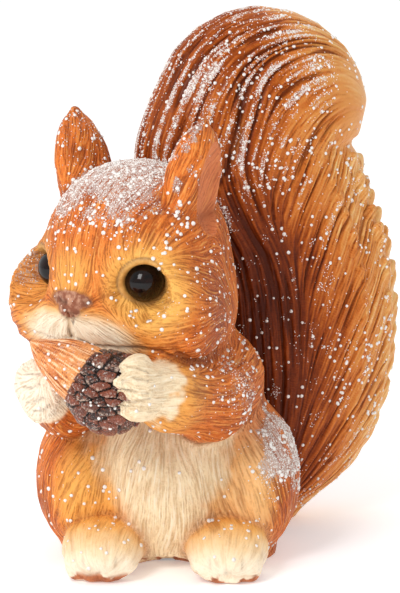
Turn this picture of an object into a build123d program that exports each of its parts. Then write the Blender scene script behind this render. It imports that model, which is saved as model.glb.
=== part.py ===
from build123d import *
import os
from math import sin, cos, radians, sqrt, tan, degrees, asin, pi

os.makedirs("parts", exist_ok=True)

# ---------------------------------------------------------------- driving dimensions (mm)
FIGURE_H = 181.8            # table to the crown of the tail
OFFSET = (-12.87, 2.06, 0.0)  # moves the working frame so that the origin is the middle of the footprint

RESIN_WALL = 4.5            # wall of the hollow casting
HEAD_YAW = 40.0             # head and acorn turned to the squirrel's right
HEAD_XY = (-9.0, -17.0)     # neck axis

TORSO_C, TORSO_R = (0, 4, 24), (43.8, 37)       # centre, (radius across, radius along its axis)
CHEST_C, CHEST_R = (0, -1, 57), (29, 30)
BELLY_C, BELLY_R = (0, -16, 30), (23, 30)
HAUNCH_C, HAUNCH_R = (27, -11, 22), (24, 17.5)  # axis across the body
FOOT_C, FOOT_R = (20.3, -35, 7.5), (14.2, 9.8)

BASE_W, BASE_D, BASE_R, BASE_Y = 73.0, 62.0, 22.0, 4.0   # flat standing pad of the casting
BASE_TOP = 11.0
FLOOR_TOP = 9.0             # cavity floor above the ledge

EYE_R = 6.4                 # bead in the socket
EYE_AT = (19.8, 18.8, 99.5)  # squirrel's left, forward, height, from the neck axis
EYE_AIM = (0.736, 0.660, -0.149)
TAIL_AZ = 57.0              # direction of the tail's width, from +Y towards +X
TAIL_ROOT = (20.0, 30.0)
TAIL_WALL = 4.5
SOCKET_Z, SOCKET_R, SPIGOT_BORE_R = 30.0, 9.3, 7.5

# battery module
REC_W, REC_D, REC_R, REC_Y = 64.0, 48.0, 10.0, 6.0       # recess in the underside
REC_H = 4.8
FLG_GAP = 0.3
FLG_Z0, FLG_Z1 = 1.0, 4.0
BAY_X, BAY_Y0, BAY_Y1, BAY_TOP = 25.0, -14.4, 8.4, 14.5  # inside of the tub
TUB_T = 1.5
CELL_D, CELL_L, NUB_D, NUB_L = 10.5, 44.5, 3.8, 1.0
CELL_Z = 8.85
CELL_PITCH = 11.2
DOOR_X, DOOR_Y0, DOOR_Y1 = 26.75, -15.95, 9.95
DOOR_GAP = 0.25
DOOR_T = 1.4
SCREW_XY = (0.0, 13.5)
SW_XY = (-17.0, 19.0)
SW_TRAVEL = 2.0
PCB_Z = 10.0
LED_D, LED_H = 3.0, 5.2

# ---------------------------------------------------------------- helpers
sY, cY = sin(radians(HEAD_YAW)), cos(radians(HEAD_YAW))
F = Vector(-sY, -cY, 0)      # where the face points
L = Vector(cY, -sY, 0)       # squirrel's left
Z = Vector(0, 0, 1)
sT, cT = sin(radians(TAIL_AZ)), cos(radians(TAIL_AZ))
T = Vector(sT, cT, 0)        # along the tail's width
N = Vector(cT, -sT, 0)       # across the tail


def head(l, f, z):
    return Vector(HEAD_XY[0], HEAD_XY[1], 0) + L * l + F * f + Z * z


def tailp(s, n, z):
    return Vector(TAIL_ROOT[0], TAIL_ROOT[1], 0) + T * s + N * n + Z * z


def spheroid(c, axial, radial, axis=Vector(0, 0, 1), spin=17.0, across=None):
    """rounded mass drawn through nine level curves, with a small flat at each end"""
    c = Vector(*c) if isinstance(c, tuple) else c
    x0 = Vector(1, 0, 0) if abs(axis.normalized().X) < 0.9 else Vector(0, 1, 0)
    x0 = across if across is not None else (x0 - axis * (x0.dot(axis) / axis.dot(axis))).rotate(Axis((0, 0, 0), axis), spin)
    r1, r2 = radial if isinstance(radial, tuple) else (radial, radial)
    rows = []
    for t in (-80, -64, -44, -22, 0, 22, 44, 64, 80):
        pl = Plane(origin=c + axis.normalized() * (axial * sin(radians(t))), x_dir=x0, z_dir=axis)
        k = cos(radians(t))
        rows.append(Wire.make_circle(r1 * k, pl) if r1 == r2 else Wire.make_ellipse(r1 * k, r2 * k, pl))
    return Solid.make_loft(rows)


def capsule(a, b, ra, rb):
    """tapered limb: the hull of two balls"""
    a = Vector(*a) if isinstance(a, tuple) else a
    b = Vector(*b) if isinstance(b, tuple) else b
    d = b - a
    ln = d.length
    al = asin((ra - rb) / ln)
    p1 = Vector(ra * cos(al), 0, ra * sin(al))
    p2 = Vector(rb * cos(al), 0, ln + rb * sin(al))
    m1 = Vector(ra * cos((al - pi / 2) / 2), 0, ra * sin((al - pi / 2) / 2))
    m2 = Vector(rb * cos((al + pi / 2) / 2), 0, ln + rb * sin((al + pi / 2) / 2))
    w = Wire([Edge.make_three_point_arc(Vector(0, 0, -ra), m1, p1), Edge.make_line(p1, p2),
              Edge.make_three_point_arc(p2, m2, Vector(0, 0, ln + rb)),
              Edge.make_line(Vector(0, 0, ln + rb), Vector(0, 0, -ra))])
    s = Solid.revolve(Face(w), 360, Axis.Z)
    return s.moved(Plane(origin=a, z_dir=d).location)


def turned(points, origin, z_dir):
    """closed profile of (r, z) points turned about z_dir"""
    w = Wire.make_polygon([Vector(r, 0, z) for r, z in points], close=True)
    return Solid.revolve(Face(w), 360, Axis.Z).moved(Plane(origin=origin, z_dir=z_dir).location)


def rbox(x0, x1, y0, y1, z0, z1, r=0.0):
    sk = Pos((x0 + x1) / 2, (y0 + y1) / 2, z0) * (RectangleRounded(x1 - x0, y1 - y0, r) if r > 0 else Rectangle(x1 - x0, y1 - y0))
    return extrude(sk, amount=z1 - z0)


def cyl(x, y, z0, z1, r):
    return Pos(x, y, (z0 + z1) / 2) * Cylinder(r, z1 - z0)


def rod(p, d, r, length):
    return Solid.make_cylinder(r, length, Plane(origin=p, z_dir=d))


def solid(shape):
    """one clean solid out of a boolean result"""
    ss = sorted(shape.solids(), key=lambda s: -s.volume)
    return ss[0]


PIECES = {}


def keep(name, *solids):
    out = [s.moved(Location(OFFSET)) for x in solids for s in x.solids()]
    shape = out[0] if len(out) == 1 else Compound(children=out)
    shape.label = name
    PIECES[name] = shape
    export_step(shape, f"parts/{name}.step")


# ---------------------------------------------------------------- acorn held between the paws
ax = Vector(0.843, -0.267, -0.469).normalized()   # from the nut's point to the cup
cup_c = Vector(-15.6, -66.0, 67.8)
tip = cup_c - ax * 30.6
NUT = [(0, 0), (1.3, 0.8), (2.3, 2.0), (4.3, 5.0), (6.0, 8.0), (7.8, 12.0), (9.1, 16.0), (9.8, 20.0), (10.0, 24.0), (9.8, 27.0), (0, 27.0)]
nut = turned(NUT, tip, ax)
cup_prof = [(0, 43.7), (2.0, 43.5), (4.6, 42.8), (7.2, 41.5), (9.5, 39.5), (11.3, 37.0), (12.6, 34.0), (13.1, 30.5), (12.8, 27.0), (12.0, 24.0),
            (11.3, 22.2), (10.6, 21.2), (9.9, 20.7), (9.9, 27.0), (0, 27.0)]
cup = turned(cup_prof, tip, ax).cut(nut)
keep("acorn_nut", solid(nut))
keep("acorn_cup", solid(cup))

# ---------------------------------------------------------------- body casting, outside
torso = spheroid(TORSO_C, TORSO_R[1], TORSO_R[0], Z, 23)
base = rbox(-BASE_W / 2, BASE_W / 2, BASE_Y - BASE_D / 2, BASE_Y + BASE_D / 2, 0, BASE_TOP, BASE_R)
hollows = []                 # ear cups
prims = [spheroid(CHEST_C, CHEST_R[1], CHEST_R[0], Z, 71), spheroid(BELLY_C, BELLY_R[1], BELLY_R[0], Z, 131)]
for s in (-1, 1):
    prims.append(spheroid((s * HAUNCH_C[0], HAUNCH_C[1], HAUNCH_C[2]), HAUNCH_R[1], HAUNCH_R[0], Vector(s, 0, 0), 40 + s * 13))
    prims.append(spheroid((s * FOOT_C[0], FOOT_C[1], FOOT_C[2]), FOOT_R[1], FOOT_R[0], Z, 200 + s * 37))
prims.append(spheroid(head(0, 1, 104.5), 31.0, 31.2, Z, 11))
prims.append(spheroid(head(0, 2, 87), 22, 33.5, Z, 101))
for s in (-1, 1):
    prims.append(spheroid(head(s * 26, 13, 88), 18.4, 16.0, Z, 33 * s))
    prims.append(spheroid(head(s * 8.0, 21.8, 84.4), 8.4, 10.8, Z, 77 * s))
prims.append(spheroid(head(0, 24.6, 91.2), 7.2, 8.4, Z, 59))
prims.append(spheroid(head(0, 30.2, 92.8), 7.2, 3.2, L, 19))
prims.append(spheroid(head(0, 22.3, 77), 6, 9, Z, 149))
EAR_T = 8.6
for s in (-1, 1):
    w = (L * (s * 7) + Z * 29).normalized()
    u = (L - w * L.dot(w)).normalized()
    pl = Plane(origin=head(s * 24, 1, 129.5) - u * (EAR_T / 2), x_dir=w, z_dir=u)
    ear = extrude(pl * Ellipse(22.0, 11.8), amount=EAR_T)
    ear = fillet(ear.edges(), 3.6)
    prims.append(solid(ear))
    hollows.append(spheroid(head(s * 24, 1, 130.5) + u * (s * 7.2), 4.6, 9.0, u, 45))
prims.append(capsule((19.0, -12, 62), (15.0, -37.6, 57), 13.2, 13.0))
prims.append(capsule((14.7, -38.2, 57.2), (2.0, -55.5, 63.8), 12.5, 10.6))
prims.append(spheroid((-3.2, -61, 68.5), 10.5, 8.9, Z, 7))
prims.append(capsule((-22, -13, 60), (-33, -31, 55), 12, 9))
prims.append(capsule((-33.2, -31.5, 55.3), (-38, -45, 61.5), 8.7, 7.8))
prims.append(spheroid((-40.6, -50, 65.2), 10.2, 8.0, Z, 97))
outer = solid(torso.fuse(base))
for p in prims:
    outer = solid(outer.fuse(p))
for h in hollows:
    outer = solid(outer.cut(h))
below = rbox(-120, 120, -120, 120, -60, 0)
outer = solid(outer.cut(below))
eye_at = {s: head(s * EYE_AT[0], EYE_AT[1], EYE_AT[2]) for s in (-1, 1)}
eye_aim = {s: (L * (s * EYE_AIM[0]) + F * EYE_AIM[1] + Z * EYE_AIM[2]).normalized() for s in (-1, 1)}
for s in (-1, 1):            # hollow that the bead looks out of
    outer = solid(outer.cut(spheroid(eye_at[s] + eye_aim[s] * 5.2, 7.5, 7.5, eye_aim[s], 21)))
# arch under the belly, between the feet
outer = solid(outer.cut(spheroid((0, -36, -0.3), 15.5, 6.9, Vector(0, 1, 0), 61)))

# inside
inner = spheroid(TORSO_C, TORSO_R[1] - RESIN_WALL, TORSO_R[0] - RESIN_WALL, Z, 83).cut(rbox(-120, 120, -120, 120, -60, FLOOR_TOP))
inner = solid(solid(inner).fuse(spheroid(CHEST_C, 25.5, 24, Z, 157)))
inner = solid(inner.fuse(capsule((-1, -3, 66), head(0, 0, 102), 15, 17.5)))
shell = outer.cut(inner)
recess = rbox(-REC_W / 2, REC_W / 2, REC_Y - REC_D / 2, REC_Y + REC_D / 2, -1, REC_H, REC_R)
OPEN_Y0, OPEN_Y1, OPEN_R = -16.6, 26.6, 3.2
opening = rbox(-27.5, 27.5, OPEN_Y0, OPEN_Y1, REC_H - 0.5, FLOOR_TOP + 1.0, OPEN_R)
shell = shell.cut(recess).cut(opening)
SCREWS = [(-29.6, -3.0), (29.6, -3.0), (-29.6, 17.0), (29.6, 17.0)]
for x, y in SCREWS:
    shell = shell.cut(cyl(x, y, REC_H - 0.5, 9.0, 1.1))
hole_dir = T
shell = shell.cut(rod(tailp(-3, 0, SOCKET_Z), T, SOCKET_R, 24))
eyes = {}
for name, s in (("left_eye", 1), ("right_eye", -1)):
    e = Solid.make_sphere(EYE_R, Plane(origin=eye_at[s], z_dir=L * s + F), angle1=-90, angle2=90, angle3=360)
    eyes[name] = e
    shell = shell.cut(e)
shell = shell.cut(nut).cut(cup)
keep("body_shell", solid(shell))
for name, e in eyes.items():
    keep(name, e)

# ---------------------------------------------------------------- tail casting
# height, right edge X, left edge X, half thickness
STATIONS = [(1, 43, 14, 9), (6, 48, 12, 12), (15, 61, 9, 17), (27, 70, 8, 20), (40, 75.2, 7.5, 22), (56, 78.2, 7, 24),
            (72, 79, 5, 25), (86, 78, 3.5, 25), (98, 75.5, 0.5, 25), (111, 69.8, -6.5, 25), (122, 66, -11, 25.5),
            (130.5, 62.6, -13, 26), (139, 65.2, -11.9, 26), (149, 67.4, -8.5, 26), (159, 64.6, -4, 24),
            (168, 59.2, 0.5, 20.5), (175.5, 50.5, 8.5, 15), (180, 41.5, 17.5, 8.5), (FIGURE_H, 33, 26, 3.5)]


def station(z, xr, xl, b, inset):
    half = (xr - xl) / 2
    tc = ((xr + xl) / 2 - TAIL_ROOT[0]) / sT
    a = sqrt(max(half ** 2 - (cT * b) ** 2, (0.5 * half) ** 2)) / sT - inset
    pl = Plane(origin=tailp(tc, 0, z), x_dir=T if a >= b - inset else N, z_dir=Z)
    big, small = max(a, b - inset), min(a, b - inset)
    return Wire.make_ellipse(big, small, pl)


def tail_loft(rows, inset):
    return Solid.make_loft([station(*r, inset) for r in rows])


tail_out = tail_loft(STATIONS, 0.0)
tail_in = tail_loft([STATIONS[i] for i in (2, 4, 6, 8, 10, 12, 14)], TAIL_WALL + 0.8)
tail_in = solid(tail_in.cut(spheroid(TORSO_C, TORSO_R[1] + TAIL_WALL, TORSO_R[0] + TAIL_WALL, Z, 5)))
tail_in = solid(tail_in.cut(spheroid(CHEST_C, CHEST_R[1] + TAIL_WALL, CHEST_R[0] + TAIL_WALL, Z, 113)))
tail = tail_out.cut(outer)
tail = solid(tail)
spigot = rod(tailp(2.5, 0, SOCKET_Z), T, SOCKET_R, 15)
tail = solid(tail.fuse(spigot))
tail = tail.cut(rod(tailp(2.0, 0, SOCKET_Z), T, SPIGOT_BORE_R, 20)).cut(tail_in)
keep("tail_shell", solid(tail))

# ---------------------------------------------------------------- light in the tail
plug = rod(tailp(3.5, 0, SOCKET_Z), T, SPIGOT_BORE_R, 3.0)
BOARD_S0, BOARD_S1, BOARD_W, BOARD_T = 1.0, 37.0, 12.0, 1.6
bpl = Plane(origin=tailp(0, 0, SOCKET_Z), x_dir=T, z_dir=Z)
board = extrude(bpl.offset(-BOARD_T / 2) * Pos((BOARD_S0 + BOARD_S1) / 2, 0) * Rectangle(BOARD_S1 - BOARD_S0, BOARD_W), amount=BOARD_T)
plug = solid(plug.cut(board))
keep("tail_plug", plug)
keep("led_board", solid(board))
LED_S = [19.5, 26.5, 33.5]
leds = []
for s in LED_S:
    p = tailp(s, 0, SOCKET_Z + BOARD_T / 2)
    r = LED_D / 2
    prof = [(0, 0), (r + 0.3, 0), (r + 0.3, 0.8), (r, 0.8), (r, LED_H - r)]
    for k in range(1, 6):
        a = radians(18 * k)
        prof.append((r * cos(a) if k < 5 else 0, LED_H - r + r * sin(a)))
    leds.append(turned(prof, p, Z))
keep("leds", *leds)


def lead(name, points, d):
    pts = [Vector(*p) if isinstance(p, tuple) else p for p in points]
    radii = []
    for i in range(1, len(pts) - 1):
        a, b = pts[i] - pts[i - 1], pts[i + 1] - pts[i]
        turn = a.get_angle(b)
        radii.append(0.45 * min(a.length, b.length) / tan(radians(turn) / 2))
    path = FilletPolyline(*pts, radius=radii)
    w = path.wire()
    sec = Plane(origin=w.position_at(0), z_dir=w.tangent_at(0)) * Circle(d / 2)
    tube = sweep(sec, path=w)
    print(name, "radii", [round(r, 1) for r in radii], "length", round(w.length, 1), "volume ratio", round(tube.volume / (pi * d * d / 4 * w.length), 4))
    keep(name, solid(tube))


LEAD_D = 1.2
for name, n, x in (("lead_red", 3.0, 18.0), ("lead_black", -3.0, 14.0)):
    end = tailp(BOARD_S0, n, SOCKET_Z)
    lead(name, [(x, 18.0, PCB_Z + 1.2), (x, 18.0, 20.0), tailp(-7.5, n, SOCKET_Z), end], LEAD_D)

# ---------------------------------------------------------------- battery housing (tub with flange)
flange = rbox(-REC_W / 2 + FLG_GAP, REC_W / 2 - FLG_GAP, REC_Y - REC_D / 2 + FLG_GAP, REC_Y + REC_D / 2 - FLG_GAP, FLG_Z0, FLG_Z1, REC_R - FLG_GAP)
tub = rbox(-BAY_X - TUB_T, BAY_X + TUB_T, BAY_Y0 - TUB_T, BAY_Y1 + TUB_T, FLG_Z0 + 1.0, BAY_TOP + TUB_T, 2.0)
boss = cyl(*SCREW_XY, FLG_Z0, 9.4, 4.2)
posts = [cyl(x, y, FLG_Z1 - 0.5, PCB_Z, 1.6) for x, y in ((-23.0, 14.0), (22.0, 14.0), (22.0, 23.5), (-23.0, 23.5))]
housing = flange + tub + boss
for p in posts:
    housing = housing + p
# bay, door rebate and screw pocket
housing = housing - rbox(-BAY_X, BAY_X, BAY_Y0, BAY_Y1, 0, BAY_TOP, 0.8)
REB = DOOR_GAP
housing = housing - rbox(-DOOR_X - REB, DOOR_X + REB, DOOR_Y0 - REB, DOOR_Y1 + REB, 0, 2.8, 2.0 + REB)
TAB_R, TAB_TOP = 3.9, 3.6
housing = housing - cyl(*SCREW_XY, 0, TAB_TOP + 0.2, TAB_R + REB) - rbox(-TAB_R - REB, TAB_R + REB, DOOR_Y1 - 1, SCREW_XY[1], 0, TAB_TOP + 0.2)
INS_R, INS_Z0, INS_Z1 = 1.7, TAB_TOP + 0.2, 7.8
housing = housing - cyl(*SCREW_XY, INS_Z0 - 0.1, INS_Z1, INS_R) - cyl(*SCREW_XY, INS_Z1 - 0.1, 8.8, 1.2)
# rounded saddles under the bay roof, one for each cell, and finger notch at the door edge
for x, y in SCREWS:
    housing = housing - cyl(x, y, 0, 5, 1.15) - cyl(x, y, 0, FLG_Z0 + 1.5, 2.0)
# switch slot
housing = housing - rbox(SW_XY[0] - 2.3, SW_XY[0] + 2.3, SW_XY[1] - 1.25, SW_XY[1] + 1.25, 0, 5)
# lead-out notch in the tub's back wall for the battery tabs
housing = housing - rbox(21.2, 24.2, BAY_Y1 - 1, BAY_Y1 + TUB_T + 1, 11.8, 13.2)
housing = housing - rbox(-24.2, -21.2, BAY_Y1 - 1, BAY_Y1 + TUB_T + 1, 11.8, 13.2)
keep("battery_housing", solid(housing))

# gasket between the flange and the casting's ledge
gasket = rbox(-REC_W / 2 + 0.6, REC_W / 2 - 0.6, REC_Y - REC_D / 2 + 0.6, REC_Y + REC_D / 2 - 0.6, FLG_Z1, REC_H, REC_R - 0.6)
gasket = gasket - rbox(-27.5, 27.5, OPEN_Y0, OPEN_Y1, FLG_Z1 - 1, REC_H + 1, OPEN_R)
for x, y in SCREWS:
    gasket = gasket - cyl(x, y, FLG_Z1 - 1, REC_H + 1, 1.3)
keep("housing_gasket", solid(gasket))

# four pan-head screws
hs = []
for x, y in SCREWS:
    prof = [(0, 1.1), (1.5, 1.1), (1.85, 1.5), (1.85, 2.5), (1.1, 2.5), (1.1, 7.6), (0.35, 8.8), (0, 8.8)]
    s = turned(prof, Vector(x, y, 0), Z)
    s = s.cut(rbox(x - 1.2, x + 1.2, y - 0.2, y + 0.2, 0.5, 1.7)).cut(rbox(x - 0.2, x + 0.2, y - 1.2, y + 1.2, 0.5, 1.7))
    hs.append(solid(s))
keep("housing_screws", *hs)

# ---------------------------------------------------------------- battery contacts and cells
YC = (BAY_Y0 + BAY_Y1) / 2
Y1, Y2 = YC - CELL_PITCH / 2, YC + CELL_PITCH / 2
PL_T = 0.4
plates = [rbox(-BAY_X, -BAY_X + PL_T, Y1 - 4.6, Y2 + 4.6, 4.6, 13.4)]
for y in (Y1, Y2):
    plates.append(rbox(BAY_X - PL_T, BAY_X, y - 4.6, y + 4.6, 4.6, 13.4))
keep("contact_plates", *[solid(p) for p in plates])


def spring(x, y, direction, length):
    """conical contact spring, wide turn on the plate"""
    wire_r = 0.25
    h = Helix(pitch=(length - 2 * wire_r) / 4.0, height=length - 2 * wire_r, radius=3.4, cone_angle=-14,
              center=(0, 0, wire_r), direction=(0, 0, 1))
    e = h.edge() if hasattr(h, "edge") else h
    sec = Plane(origin=e.position_at(0), z_dir=e.tangent_at(0)) * Circle(wire_r)
    sp = sweep(sec, path=e, is_frenet=True)
    return solid(sp).moved(Plane(origin=Vector(x, y, CELL_Z), z_dir=Vector(direction, 0, 0)).location)


SPR_L = 4.4
keep("contact_springs", spring(-BAY_X + PL_T + 0.02, Y1, 1, SPR_L), spring(BAY_X - PL_T - 0.02, Y2, -1, SPR_L))


def cell(y, direction):
    r = CELL_D / 2
    prof = [(0, 0), (r - 1.2, 0), (r - 0.9, 0.25), (r - 0.3, 0.25), (r, 0.6), (r, CELL_L - NUB_L - 0.7), (r - 0.6, CELL_L - NUB_L), (NUB_D / 2, CELL_L - NUB_L),
            (NUB_D / 2, CELL_L - 0.2), (NUB_D / 2 - 0.2, CELL_L), (0, CELL_L)]
    x0 = direction * (BAY_X - PL_T - 0.1 - CELL_L)
    return turned(prof, Vector(x0, y, CELL_Z), Vector(direction, 0, 0))


keep("battery_cell_1", cell(Y1, 1))
keep("battery_cell_2", cell(Y2, -1))

# ---------------------------------------------------------------- battery door
door = rbox(-DOOR_X, DOOR_X, DOOR_Y0, DOOR_Y1, FLG_Z0, FLG_Z0 + DOOR_T, 2.0)
door = door + cyl(*SCREW_XY, FLG_Z0, TAB_TOP, TAB_R) + rbox(-TAB_R, TAB_R, DOOR_Y1 - 1, SCREW_XY[1], FLG_Z0, FLG_Z0 + DOOR_T) \
    + rbox(-TAB_R, TAB_R, DOOR_Y1 + 1.2, SCREW_XY[1], FLG_Z0, TAB_TOP)
door = door - cyl(*SCREW_XY, 0, FLG_Z0 + 1.6, 2.15) - cyl(*SCREW_XY, 0, 5, 1.2)
for k in range(5):
    door = door + rbox(-20 + k * 3.0, -18.6 + k * 3.0, YC - 6, YC + 6, FLG_Z0 - 0.4, FLG_Z0 + 0.5, 0.6)
keep("battery_door", solid(door))
dg = rbox(-DOOR_X + 0.3, DOOR_X - 0.3, DOOR_Y0 + 0.3, DOOR_Y1 - 0.3, FLG_Z0 + DOOR_T, 2.75, 1.7)
dg = dg - rbox(-BAY_X - 0.3, BAY_X + 0.3, BAY_Y0 - 0.3, BAY_Y1 + 0.3, 1, 4, 1.0)
dg = dg - cyl(*SCREW_XY, 1, 5, TAB_R + 0.2)
keep("door_gasket", solid(dg))
prof = [(0, 1.15), (1.5, 1.15), (1.8, 1.5), (1.8, 2.5), (0.98, 2.5), (0.98, 7.9), (0.7, 8.3), (0, 8.3)]
ds = turned(prof, Vector(*SCREW_XY, 0), Z)
ds = ds.cut(rbox(SCREW_XY[0] - 1.2, SCREW_XY[0] + 1.2, SCREW_XY[1] - 0.2, SCREW_XY[1] + 0.2, 0.5, 1.75))
ds = ds.cut(rbox(SCREW_XY[0] - 0.2, SCREW_XY[0] + 0.2, SCREW_XY[1] - 1.2, SCREW_XY[1] + 1.2, 0.5, 1.75))
keep("door_screw", solid(ds))
ins = cyl(*SCREW_XY, INS_Z0, INS_Z1, INS_R) - cyl(*SCREW_XY, INS_Z0 - 1, INS_Z1 + 1, 1.03)
keep("screw_insert", solid(ins))

# ---------------------------------------------------------------- switch, control board
sx, sy = SW_XY
can = rbox(sx - 4.4, sx + 4.4, sy - 2.3, sy + 2.3, FLG_Z1, 7.8, 0.4)
can = can - rbox(sx - 3.6, sx + 3.6, sy - 1.8, sy + 1.8, 4.6, 7.2) - rbox(sx - 2.1, sx + 2.1, sy - 1.1, sy + 1.1, 3.5, 5)
pins = [cyl(sx + dx, sy, 7.7, PCB_Z, 0.35) for dx in (-2.5, 0, 2.5)]
for p in pins:
    can = can + p
keep("switch_body", solid(can))
kx = sx - SW_TRAVEL / 2
knob = rbox(kx - 0.9, kx + 0.9, sy - 0.9, sy + 0.9, 1.3, 5.5) + rbox(kx - 1.8, kx + 1.8, sy - 1.6, sy + 1.6, 4.8, 6.6)
for dx in (-0.5, 0.1):
    knob = knob - rbox(kx + dx, kx + dx + 0.4, sy - 1, sy + 1, 1.2, 1.6)
keep("switch_knob", solid(knob))
pcb = rbox(-25.5, 24.5, 12.0, 25.5, PCB_Z, PCB_Z + 1.2, 1.0)
pcb = pcb - cyl(SCREW_XY[0], SCREW_XY[1] - 1.5, PCB_Z - 1, PCB_Z + 3, 4.0)
keep("control_board", solid(pcb))
chip = rbox(4.0, 9.0, 16.5, 20.5, PCB_Z + 1.35, PCB_Z + 2.8)
for k in range(4):
    x = 4.75 + 1.17 * k
    for y0, y1 in ((15.4, 16.6), (20.4, 21.6)):
        chip = chip + rbox(x - 0.2, x + 0.2, y0, y1, PCB_Z + 1.2, PCB_Z + 2.0)
keep("timer_chip", solid(chip))
cap = cyl(-8.0, 19.0, PCB_Z + 1.2, PCB_Z + 7.0, 2.5)
cap = chamfer(cap.edges().group_by(Axis.Z)[-1], 0.4)
keep("capacitor", solid(cap))
res = [rbox(x, x + 2.0, 22.5, 23.75, PCB_Z + 1.2, PCB_Z + 1.8) for x in (-16.0, -3.0, 12.5)]
keep("resistors", *[solid(r) for r in res])

bb = Compound(children=[p.moved(Location()) for p in PIECES.values()]).bounding_box()
print("bbox", [round(v, 2) for v in (bb.min.X, bb.min.Y, bb.min.Z, bb.max.X, bb.max.Y, bb.max.Z)])
print("centre", round((bb.min.X + bb.max.X) / 2, 3), round((bb.min.Y + bb.max.Y) / 2, 3), "nodes", len(PIECES))
for n, p in PIECES.items():
    print(f"{n:18s} {p.volume:10.1f} mm3 solids {len(p.solids())} valid {p.is_valid}")
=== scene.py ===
import math
import time

import bpy
import numpy as np
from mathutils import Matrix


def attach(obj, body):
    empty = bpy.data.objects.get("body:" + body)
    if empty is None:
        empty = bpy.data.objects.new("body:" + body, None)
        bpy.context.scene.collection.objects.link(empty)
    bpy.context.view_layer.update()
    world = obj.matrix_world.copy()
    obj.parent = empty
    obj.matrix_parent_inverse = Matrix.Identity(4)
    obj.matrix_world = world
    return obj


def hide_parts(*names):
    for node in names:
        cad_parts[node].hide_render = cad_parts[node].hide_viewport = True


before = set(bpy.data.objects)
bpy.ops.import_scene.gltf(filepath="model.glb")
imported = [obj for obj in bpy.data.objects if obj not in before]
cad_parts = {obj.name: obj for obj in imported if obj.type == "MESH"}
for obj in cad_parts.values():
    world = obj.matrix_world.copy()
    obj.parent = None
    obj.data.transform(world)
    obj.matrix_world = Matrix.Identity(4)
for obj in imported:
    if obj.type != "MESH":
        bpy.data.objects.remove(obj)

import openvdb as vdb
from mathutils import Vector

T0 = time.time()
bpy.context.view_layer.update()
OFF = np.array([-12.87, 2.06, 0.0])      # working frame to row frame, mm
RNG = np.random.default_rng(20417)
F4 = np.float32


def vec(*a):
    return np.array(a, float)


def unit(v):
    v = np.asarray(v, float)
    return v / np.maximum(np.linalg.norm(v, axis=-1, keepdims=True), 1e-9)


def smooth(a, b, x):
    t = np.clip((x - a) / (b - a), 0, 1)
    return t * t * (3 - 2 * t)


# ------------------------------------------------------------------ camera (first, other work uses its view)
AZ, EL, DIST, FPX = 2.0, 10.0, 900.0, 2650.0
TGT = vec(10.2, 5.0, 86.0)
_a, _e = math.radians(AZ), math.radians(EL)
BACK = vec(math.sin(_a) * math.cos(_e), -math.cos(_a) * math.cos(_e), math.sin(_e))
RIGHT = vec(math.cos(_a), math.sin(_a), 0)
UP = np.cross(BACK, RIGHT)
EYE = TGT + DIST * BACK
cam = bpy.data.objects.new("camera", bpy.data.cameras.new("camera"))
bpy.context.scene.collection.objects.link(cam)
cam.data.sensor_width = 36
cam.data.lens = FPX * 36 / 593
cam.location = Vector((EYE + OFF) * 0.001)
cam.rotation_mode = "QUATERNION"
cam.rotation_quaternion = Vector(-BACK).to_track_quat("-Z", "Y")
cam.data.clip_start, cam.data.clip_end = 0.01, 20
bpy.context.scene.camera = cam


def project(p):
    """frame position (px across, px down) and depth of points in the working frame"""
    d = p - EYE
    depth = -(d @ BACK)
    return np.stack([200 + FPX * (d @ RIGHT) / depth, 296.5 - FPX * (d @ UP) / depth], -1), depth


# ------------------------------------------------------------------ distance-field sculpting
class Grid:
    def __init__(self, lo, hi, h):
        self.h, self.lo = h, np.array(lo, float)
        self.n = np.ceil((np.array(hi, float) - self.lo) / h).astype(int) + 1
        self.ax = [self.lo[i] + h * np.arange(self.n[i]) for i in range(3)]
        self.phi = np.full(self.n, 40.0, F4)

    def box(self, c, r, pad=10):
        lo = np.maximum(((np.array(c) - r - pad - self.lo) / self.h).astype(int), 0)
        hi = np.minimum(((np.array(c) + r + pad - self.lo) / self.h).astype(int) + 2, self.n)
        return tuple(slice(a, max(a, b)) for a, b in zip(lo, hi))

    def coords(self, s):
        return np.meshgrid(*[self.ax[i][s[i]].astype(F4) for i in range(3)], indexing="ij", sparse=True)

    def put(self, prim):
        s = self.box(prim["c"], prim["reach"])
        x, y, z = self.coords(s)
        self.phi[s] = prim["join"](self.phi[s], prim["f"](x, y, z).astype(F4))

    def mesh(self):
        g = vdb.FloatGrid(40.0)
        g.copyFromArray(np.ascontiguousarray(self.phi))
        g.transform = vdb.createLinearTransform(self.h)
        v, q = g.convertToQuads(0.0)
        v = v + self.lo
        for _ in range(2):
            d, n = sample(self, v), grad(self, v)
            v = v - np.clip(d, -0.5, 0.5)[:, None] * n
        return v, q.astype(np.int32)


def sample(g, p, vol=None):
    vol = g.phi if vol is None else vol
    q = (p - g.lo) / g.h
    q = np.clip(q, 0, g.n - 1.001)
    i = q.astype(np.int32)
    f = (q - i).astype(F4)
    _, ny, nz = g.n
    b = (i[:, 0] * ny + i[:, 1]) * nz + i[:, 2]
    flat = vol.reshape(-1) if vol.ndim == 3 else vol.reshape(-1, vol.shape[3])
    out = 0
    for dx in (0, 1):
        wx = f[:, 0] if dx else 1 - f[:, 0]
        for dy in (0, 1):
            wy = f[:, 1] if dy else 1 - f[:, 1]
            for dz in (0, 1):
                w = wx * wy * (f[:, 2] if dz else 1 - f[:, 2])
                val = flat[b + (dx * ny + dy) * nz + dz]
                out = out + (val * w if vol.ndim == 3 else val * w[:, None])
    return out


def grad(g, p, e=None):
    e = g.h if e is None else e
    out = np.empty((len(p), 3), F4)
    for k in range(3):
        d = np.zeros(3)
        d[k] = e
        out[:, k] = sample(g, p + d) - sample(g, p - d)
    return out / np.maximum(np.linalg.norm(out, axis=1, keepdims=True), 1e-9)


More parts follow.
